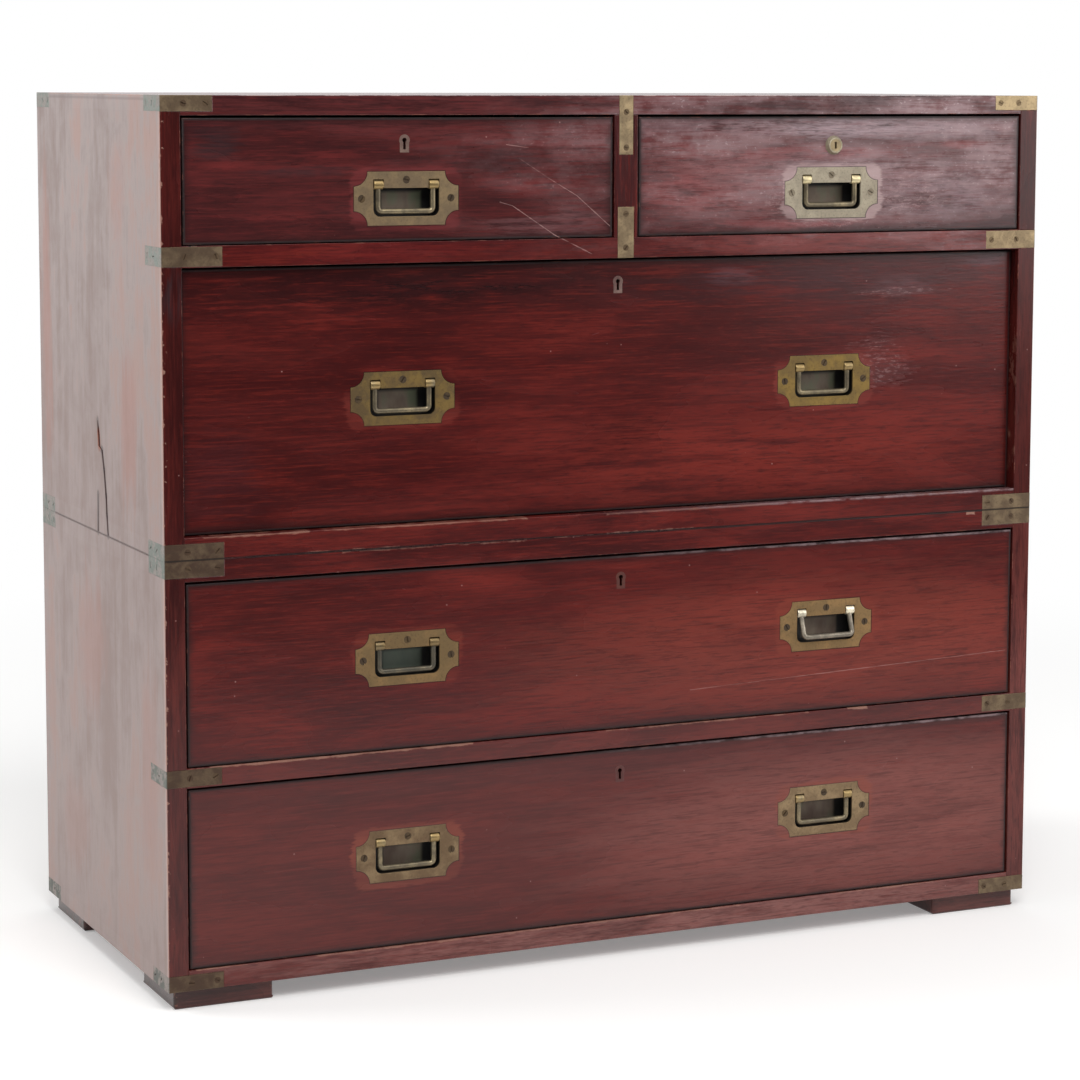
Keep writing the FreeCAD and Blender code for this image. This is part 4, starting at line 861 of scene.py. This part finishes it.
# dull and bare tone of a bail, and the tone of its knuckles, rubbed and with a painted highlight; the loose
# bail is painted brighter as a highlight, it and the small right bail have near-white knuckles as painted
# highlights, and the upper long left bail is darker
BAIL_TONES = {
    "small_right_bail": (tone(106, 96, 78), tone(152, 138, 110), tone(232, 216, 172)),
    "upper_long_left_bail": (tone(80, 76, 66), tone(120, 110, 92), tone(128, 108, 74)),
    "upper_long_right_bail": (tone(116, 108, 96), tone(162, 152, 136), tone(248, 238, 212)),
}
COMMON_BAIL = (tone(106, 96, 78), tone(152, 138, 110), tone(156, 132, 88))
steel = filed_steel("lock_steel")


def islands(bm):
    """The separate shells of a mesh, as lists of vertices."""
    left = set(bm.verts)
    while left:
        shell = [left.pop()]
        for vert in shell:
            for edge in vert.link_edges:
                other = edge.other_vert(vert)
                if other in left:
                    left.remove(other)
                    shell.append(other)
        yield shell


def turned_screws(node, seed):
    """The node's screws, each turned to a chance angle about its own axis."""
    bm = bmesh.new()
    bm.from_mesh(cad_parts[node].data)
    bmesh.ops.remove_doubles(bm, verts=bm.verts, dist=1e-6)
    chance = random.Random(seed)
    shells = []
    for shell in islands(bm):
        low = Vector([min(vert.co[axis] for vert in shell) for axis in range(3)])
        high = Vector([max(vert.co[axis] for vert in shell) for axis in range(3)])
        shells.append((low, high, shell))
    for low, high, shell in sorted(shells, key=lambda entry: [round(part, 4) for part in entry[0]]):
        axis = "X" if high.x - low.x > (high.y - low.y) * 1.2 else "Y"
        bmesh.ops.rotate(bm, verts=shell, cent=(low + high) / 2,
                         matrix=Matrix.Rotation(chance.uniform(0, math.pi), 3, axis))
    bmesh.ops.dissolve_limit(bm, angle_limit=math.radians(0.4), verts=bm.verts, edges=bm.edges)
    return bm


for section, body in SECTION.items():
    straps = section + "_straps"
    screws = section + "_strap_screws"
    put(section + "-straps", soften(copy_of(straps), STRAP_ARRIS, long_enough, segments=2), strap_brass, body,
        straps)
    put(section + "-strap-screws", turned_screws(screws, 40 + len(section)), strap_screw_brass, body, screws,
        even=False)


def bail():
    """A bail that hangs from its pivot line, with the origin in the middle of that line."""
    bm = bmesh.new()
    worn = bm.faces.layers.float.new("worn")
    sideways = Matrix.Rotation(math.pi / 2, 3, "Y")
    ring = bmesh.ops.create_circle(bm, segments=20, radius=ROD)["verts"]
    bmesh.ops.scale(bm, verts=ring, vec=(1.0, ROD_FLATTENING, 1.0))
    bmesh.ops.translate(bm, verts=ring, vec=(-LEG_SPREAD, 0, 0))
    rim = bm.edges[:]

    def drawn_on(rim, vec):
        made = bmesh.ops.extrude_edge_only(bm, edges=rim)["geom"]
        ends = [part for part in made if isinstance(part, bmesh.types.BMVert)]
        bmesh.ops.translate(bm, verts=ends, vec=vec)
        return [part for part in made if isinstance(part, bmesh.types.BMEdge)]

    def bent(rim, centre):
        made = bmesh.ops.spin(bm, geom=rim, cent=centre, axis=(0, -1, 0), angle=math.pi / 2, steps=8,
                              use_merge=False, use_duplicate=False)["geom_last"]
        return [part for part in made if isinstance(part, bmesh.types.BMEdge)]

    rim = drawn_on(rim, (0, 0, CORNER - BAR_DROP))
    rim = bent(rim, (CORNER - LEG_SPREAD, 0, CORNER - BAR_DROP))
    rim = drawn_on(rim, (2 * (LEG_SPREAD - CORNER), 0, 0))
    rim = bent(rim, (LEG_SPREAD - CORNER, 0, CORNER - BAR_DROP))
    drawn_on(rim, (0, 0, BAR_DROP - CORNER))
    bmesh.ops.holes_fill(bm, edges=bm.edges, sides=0)
    for side in (-1, 1):
        barrel = bmesh.ops.create_cone(bm, cap_ends=True, segments=28, radius1=KNUCKLE, radius2=KNUCKLE,
                                       depth=KNUCKLE_EAST - KNUCKLE_WEST)["verts"]
        ends = [edge for edge in bm.edges
                if edge.verts[0] in barrel and abs(edge.verts[0].co.z - edge.verts[1].co.z) < 1e-6]
        made = bmesh.ops.bevel(bm, geom=ends, offset=KNUCKLE_ROUND, offset_type="OFFSET", segments=3,
                               profile=0.5, affect="EDGES", material=-1)
        barrel = list({vert for face in made["faces"] for vert in face.verts})
        for face in {face for vert in barrel for face in vert.link_faces}:
            face[worn] = 1.0
        bmesh.ops.rotate(bm, verts=barrel, cent=(0, 0, 0), matrix=sideways)
        bmesh.ops.translate(bm, verts=barrel, vec=(side * (KNUCKLE_WEST + KNUCKLE_EAST) / 2, 0, 0))
        pin = bmesh.ops.create_cone(bm, cap_ends=True, segments=16, radius1=PIN, radius2=PIN,
                                    depth=PIN_END - LEG_SPREAD)["verts"]
        bmesh.ops.rotate(bm, verts=pin, cent=(0, 0, 0), matrix=sideways)
        bmesh.ops.translate(bm, verts=pin, vec=(side * (PIN_END + LEG_SPREAD) / 2, 0, 0))
    bmesh.ops.recalc_face_normals(bm, faces=bm.faces)
    return bm


# ---------------------------------------------------------------------------------------------------- drawers

# the pale lilac shades on the small drawers carry on the cloudy polish, which is partly a painted reflection
# of the light
FRONTS = {
    "small_left": dict(
        tones=PLUM, seed=37, haze_and_sheen=1.15, scratches=SCRATCHES, halo_tone=tone(118, 48, 49),
        shades=[((-0.40, 0.790), (0.14, 0.055), tone(62, 25, 26), 0.55),
                ((-0.25, 0.865), (0.14, 0.014), tone(104, 48, 48), 0.55),
                ((-0.08, 0.772), (0.08, 0.020), tone(146, 104, 106), 0.35),
                ((-0.440, 0.850), (0.035, 0.020), SMOKE, 0.85), ((-0.350, 0.826), (0.060, 0.006), SMOKE, 0.7),
                ((-0.145, 0.834), (0.040, 0.010), SMOKE, 0.6), ((-0.428, 0.832), (0.030, 0.008), ROSE, 0.45),
                ((-0.318, 0.840), (0.045, 0.008), ROSE, 0.45), ((-0.369, 0.781), (0.050, 0.007), ROSE, 0.40),
                ((-0.103, 0.806), (0.055, 0.009), ROSE, 0.45)]),
    "small_right": dict(
        tones=PLUM, seed=41, haze_and_sheen=1.5, halo_tone=tone(178, 152, 150), halo=0.8,
        shades=[((0.27, 0.866), (0.17, 0.014), tone(196, 172, 178), 0.6),
                ((0.26, 0.822), (0.14, 0.024), tone(184, 156, 160), 0.35),
                ((0.247, 0.840), (0.150, 0.009), ROSY, 0.65), ((0.060, 0.800), (0.045, 0.022), ROSY, 0.5),
                ((0.11, 0.812), (0.09, 0.05), tone(158, 98, 98), 0.55),
                ((0.202, 0.765), (0.120, 0.006), ROSY, 0.6), ((0.400, 0.846), (0.050, 0.006), ROSY, 0.6),
                ((0.402, 0.864), (0.060, 0.010), tone(138, 122, 128), 0.7),
                ((0.372, 0.790), (0.080, 0.022), tone(140, 116, 122), 0.7),
                ((0.063, 0.868), (0.050, 0.008), ASH, 0.6)],
        crackle=[((0.335, 0.797), (0.040, 0.020), 0.9), ((0.175, 0.792), (0.020, 0.018), 0.6),
                 ((0.235, 0.766), (0.060, 0.008), 0.6)]),
    "deep": dict(
        tones=CRIMSON, seed=43, lively=0.75, haze_and_sheen=0.05, shine=0.29, halo_tone=tone(122, 50, 42),
        shades=[((-0.22, 0.708), (0.36, 0.026), tone(30, 12, 14), 1.0),
                ((0.30, 0.706), (0.26, 0.024), tone(58, 30, 33), 0.85),
                ((0.13, 0.712), (0.030, 0.012), tone(96, 66, 72), 0.6),
                ((0.336, 0.697), (0.035, 0.010), tone(112, 80, 84), 0.45),
                ((0.443, 0.722), (0.035, 0.010), tone(100, 78, 84), 0.6),
                ((-0.38, 0.60), (0.18, 0.14), tone(54, 14, 15), 0.6),
                ((0.19, 0.520), (0.34, 0.055), tone(134, 45, 34), 0.55),
                ((0.42, 0.660), (0.06, 0.030), tone(66, 12, 10), 0.6),
                ((-0.43, 0.53), (0.05, 0.05), tone(64, 30, 34), 0.5)],
        crackle=[((0.305, 0.612), (0.040, 0.024), 0.45), ((0.33, 0.690), (0.045, 0.004), 0.5)]),
    "upper_long": dict(
        tones=CRIMSON, seed=47, lively=0.8, streaky=0.45, dust_and_sheen_edge=0.4251, shine=0.27,
        halo_tone=tone(132, 56, 42),
        scratches=[((0.0783, 0.2776), (0.4675, 0.2914), 0.0005, 0.45)],
        shades=[((0.42, 0.380), (0.06, 0.030), tone(78, 26, 28), 0.2),
                ((0.24, 0.320), (0.38, 0.080), tone(146, 64, 50), 0.60)]),
    "lower_long": dict(
        tones=RUSSET, seed=53, lively=0.6, streaky=0.35, dust_and_sheen_edge=0.2211, shine=0.28,
        halo_tone=tone(136, 66, 50),
        shades=[((0.0, 0.205), (0.42, 0.014), tone(74, 36, 36), 0.40),
                ((0.28, 0.120), (0.36, 0.090), tone(150, 88, 80), 0.68)]),
}
# dull and bare tone of each drawer's handle plates and of its lock
PLATES = {
    "small_left": (tone(118, 100, 76), tone(148, 126, 94)),
    "small_right": (tone(140, 130, 113), tone(172, 161, 141)),
    "deep": (tone(98, 79, 50), tone(138, 113, 64)),
    "upper_long": (tone(116, 94, 62), tone(148, 118, 80)),
    "lower_long": (tone(108, 86, 62), tone(150, 128, 98)),
}
LOCKS = {
    "small_left": (tone(116, 92, 84), tone(138, 116, 104)),
    "small_right": (tone(150, 140, 118), tone(184, 174, 150)),
    "deep": (tone(98, 72, 68), tone(136, 112, 104)),
    "upper_long": (tone(88, 50, 46), tone(104, 66, 58)),
    "lower_long": (tone(92, 56, 54), tone(108, 68, 64)),
}
VERDIGRIS = {"upper_long": 0.75}


def paint_lock(drawer, face):
    """The round lock with its plug, or an escutcheon with its bolt."""
    if drawer == "small_right":
        low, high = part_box("small_right_lock")
        rim = ((low.x + high.x) / 2, (low.z + high.z) / 2, (high.x - low.x) / 2)
        plug = (tone(150, 132, 100), tone(190, 170, 132))
        # the round lock's rim is painted dark as the shade of its side
        repaint("small_right_lock", aged_brass("small_right_lock_brass", *LOCKS[drawer], 14, rim=rim))
        repaint("small_right_lock_plug", aged_brass("plug_brass", *plug, 15))
    else:
        # an escutcheon's keyhole is painted dark as shade behind its face
        repaint(drawer + "_lock", aged_brass(drawer + "_lock_brass", *LOCKS[drawer], 14, depth=face + 0.0006))
        repaint(drawer + "_lock_bolt", steel)


def put_bail(label, x, z, face):
    """A bail hung on its plate, with its own brass."""
    bm = bail()
    if label == LOOSE_BAIL:
        bmesh.ops.rotate(bm, verts=bm.verts, cent=(0, 0, 0),
                         matrix=Matrix.Rotation(math.radians(-LOOSE_ANGLE), 3, "X"))
    bmesh.ops.translate(bm, verts=bm.verts, vec=(x, face + PIVOT_SINK, z + PLATE_HEIGHT / 2 - PIVOT_DROP))
    dull, bare, knuckles = BAIL_TONES.get(label, COMMON_BAIL)
    brass = aged_brass(label + "_brass", dull, bare, 12, knuckles=knuckles, gloss=(0.26, 0.40), metal=0.6)
    put(label.replace("_", "-"), bm, brass, label.replace("_bail", "_handle"), label)


def dress(drawer, labels):
    """Put a drawer's visible pieces on it."""
    body = drawer + "_drawer"
    front = drawer + "_drawer_front"
    plates = drawer + "_handle_plates"
    screws = drawer + "_handle_screws"
    low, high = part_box(front)
    face = low.y
    middles = plate_middles(drawer)
    aside = PLATE_WIDTH / 2 - PLATE_SCREW_INSET
    above = PLATE_HEIGHT / 2 - PLATE_SCREW_INSET
    screw_places = [place for x, z in middles for place in ((x - aside, z), (x + aside, z), (x, z + above))]

    def outer_edge(edge):
        at = middle_of(edge)
        inset = min(at.x - low.x, high.x - at.x, at.z - low.z, high.z - at.z)
        return lies_at(edge, 1, face) and inset < 0.0001

    def plate_edge(edge):
        at = middle_of(edge)
        return lies_at(edge, 1, face) and all(math.hypot(at.x - x, at.z - z) > PLATE_SCREW_ROOM
                                              for x, z in screw_places)

    put(front.replace("_", "-"), soften(copy_of(front), DRAWER_ARRIS, outer_edge, rubbed=0.4),
        stained_wood(drawer + "_front_wood", "x", halos=middles, border=(low, high), sides=False,
                     **FRONTS[drawer]),
        body, front)
    for part in ("_box", "_bottom"):
        repaint(body + part, lining)
    put(drawer + "-handle-plates", soften(copy_of(plates), PLATE_ARRIS, plate_edge, segments=2),
        aged_brass(drawer + "_plate_brass", *PLATES[drawer], 8, depth=face, cups=middles,
                   verdigris=VERDIGRIS.get(drawer, 0.0)),
        body, plates)
    put(drawer + "-handle-screws", turned_screws(screws, FRONTS[drawer]["seed"]),
        pale_screw_brass if drawer == "small_right" else screw_brass, body, screws, even=False)
    paint_lock(drawer, face)
    for label, (x, z) in zip(labels, middles):
        put_bail(label, x, z, face)


lining = plain_wood("lining_wood", "y", 5, cross=DRAWER_BACK)
for drawer, labels in BAILS.items():
    dress(drawer, labels)

# ----------------------------------------------------------------------------------------------------- studio

def studio_plane(name, middle, size, finish, turn=None):
    """A flat piece of the studio: level, or upright and turned about its middle."""
    place = Matrix.Translation(middle)
    if turn is not None:
        place = place @ Matrix.Rotation(turn, 4, "Z") @ Matrix.Rotation(math.pi / 2, 4, "X")
    bm = bmesh.new()
    bmesh.ops.create_grid(bm, x_segments=1, y_segments=1, size=0.5,
                          matrix=place @ Matrix.Diagonal((size[0], size[1], 1.0, 1.0)))
    item = add_item(name, bm, finish)
    return item


WHITE = (1, 1, 1, 1)


def floor_finish():
    """Pale floor that goes over into the white of the background away from the chest."""
    f = Finish("studio_floor")
    seen = f.seen()
    white = f.step(f.length(f.x, f.y), 0.9, 2.4)
    matt = f.add("ShaderNodeBsdfDiffuse", {"Color": tone(240, 239, 237)})
    lift = f.add("ShaderNodeEmission", {"Color": WHITE, "Strength": f.times(seen, 0.24)})
    pale = f.add("ShaderNodeAddShader", {0: matt.outputs[0], 1: lift.outputs[0]})
    glow = f.add("ShaderNodeEmission", {"Color": WHITE, "Strength": 1.0})
    both = f.add("ShaderNodeMixShader", {0: f.times(white, seen), 1: pale.outputs[0], 2: glow.outputs[0]})
    return f.close(both)


def studio_cloth(name, colour):
    """Plain matt cloth."""
    cloth = Nodes(bpy.data.materials.new(name))
    return cloth.close(cloth.add("ShaderNodeBsdfDiffuse", {"Color": colour}))


def lit_panel(name, strength):
    """An evenly lit white panel."""
    panel = Nodes(bpy.data.materials.new(name))
    return panel.close(panel.add("ShaderNodeEmission", {"Color": WHITE, "Strength": strength}))


def studio_sky():
    """A cool fill light under a background that looks white."""
    sky = Nodes(bpy.data.worlds.new("studio"))
    fill = sky.add("ShaderNodeBackground", {"Color": (0.95, 0.97, 1.0, 1.0), "Strength": 0.34})
    white = sky.add("ShaderNodeBackground", {"Color": WHITE, "Strength": 1.0})
    both = sky.add("ShaderNodeMixShader", {0: sky.seen(), 1: fill.outputs[0], 2: white.outputs[0]})
    return sky.close(both, "ShaderNodeOutputWorld")


studio_plane("studio_floor", (0, 0, 0), (24, 24), floor_finish())
dark_cloth = studio_cloth("dark_cloth", tone(38, 34, 36))
REFLECTED = [
    studio_plane("dark_mat", (0, -4.35, 0.002), (14, 5.3), dark_cloth),
    studio_plane("dark_curtain", (0, -6.5, 2.5), (14, 5), dark_cloth, 0.0),
    studio_plane("right_panel", (2.6, -2.9, 1.45), (1.61, 1.9), lit_panel("right_panel", 3.2),
                 math.radians(29.7)),
]
for item in REFLECTED:
    item.visible_camera = False
    item.visible_diffuse = False
    item.visible_shadow = False
    item.visible_volume_scatter = False

bpy.context.scene.world = studio_sky()


def softbox(name, place, aim, size, power):
    """A large soft lamp pointed at a place."""
    lamp = bpy.data.lights.new(name, "AREA")
    lamp.shape = "SQUARE"
    lamp.size = size
    lamp.energy = power
    item = bpy.data.objects.new(name, lamp)
    item.location = place
    item.rotation_euler = (Vector(aim) - Vector(place)).to_track_quat("-Z", "Y").to_euler()
    bpy.context.scene.collection.objects.link(item)


softbox("key_lamp", (-0.5, -2.7, 3.5), (0, -0.2, 0.5), 2.0, 96)
softbox("right_lamp", (3.4, -2.6, 2.2), (0.2, -0.2, 0.5), 1.6, 34)
softbox("left_lamp", (-3.6, 1.6, 2.4), (-0.4, 0.0, 0.5), 1.8, 62)
softbox("top_lamp", (0.0, 0.4, 3.6), (0, 0, 0.9), 2.2, 24)

# ----------------------------------------------------------------------------------------------------- camera

# the eye's place from the crown's front left corner, and its turns in degrees
EYE_OFFSET = (-0.91221, -2.90822, 0.01847)
YAW, PITCH, ROLL = (math.radians(angle) for angle in (24.996, 6.353, 0.205))

camera = bpy.data.cameras.new("camera")
camera.sensor_width = 36.0
camera.lens = 105.163
camera.shift_x = -0.0368
camera.shift_y = -0.1035
camera.clip_start = 0.05
camera.clip_end = 60
eye = bpy.data.objects.new("camera", camera)
level = Vector((math.cos(YAW), -math.sin(YAW), 0.0))
ahead = Vector((math.sin(YAW) * math.cos(PITCH), math.cos(YAW) * math.cos(PITCH), -math.sin(PITCH)))
upright = level.cross(ahead)
right = math.cos(ROLL) * level + math.sin(ROLL) * upright
up = math.cos(ROLL) * upright - math.sin(ROLL) * level
turn = Matrix((right, up, -ahead)).transposed().to_4x4()
place = [part + offset for part, offset in zip((WEST, FRONT, CROWN), EYE_OFFSET)]
eye.matrix_world = Matrix.Translation(place) @ turn
bpy.context.scene.collection.objects.link(eye)
bpy.context.scene.camera = eye

bpy.context.scene.view_settings.view_transform = "Standard"
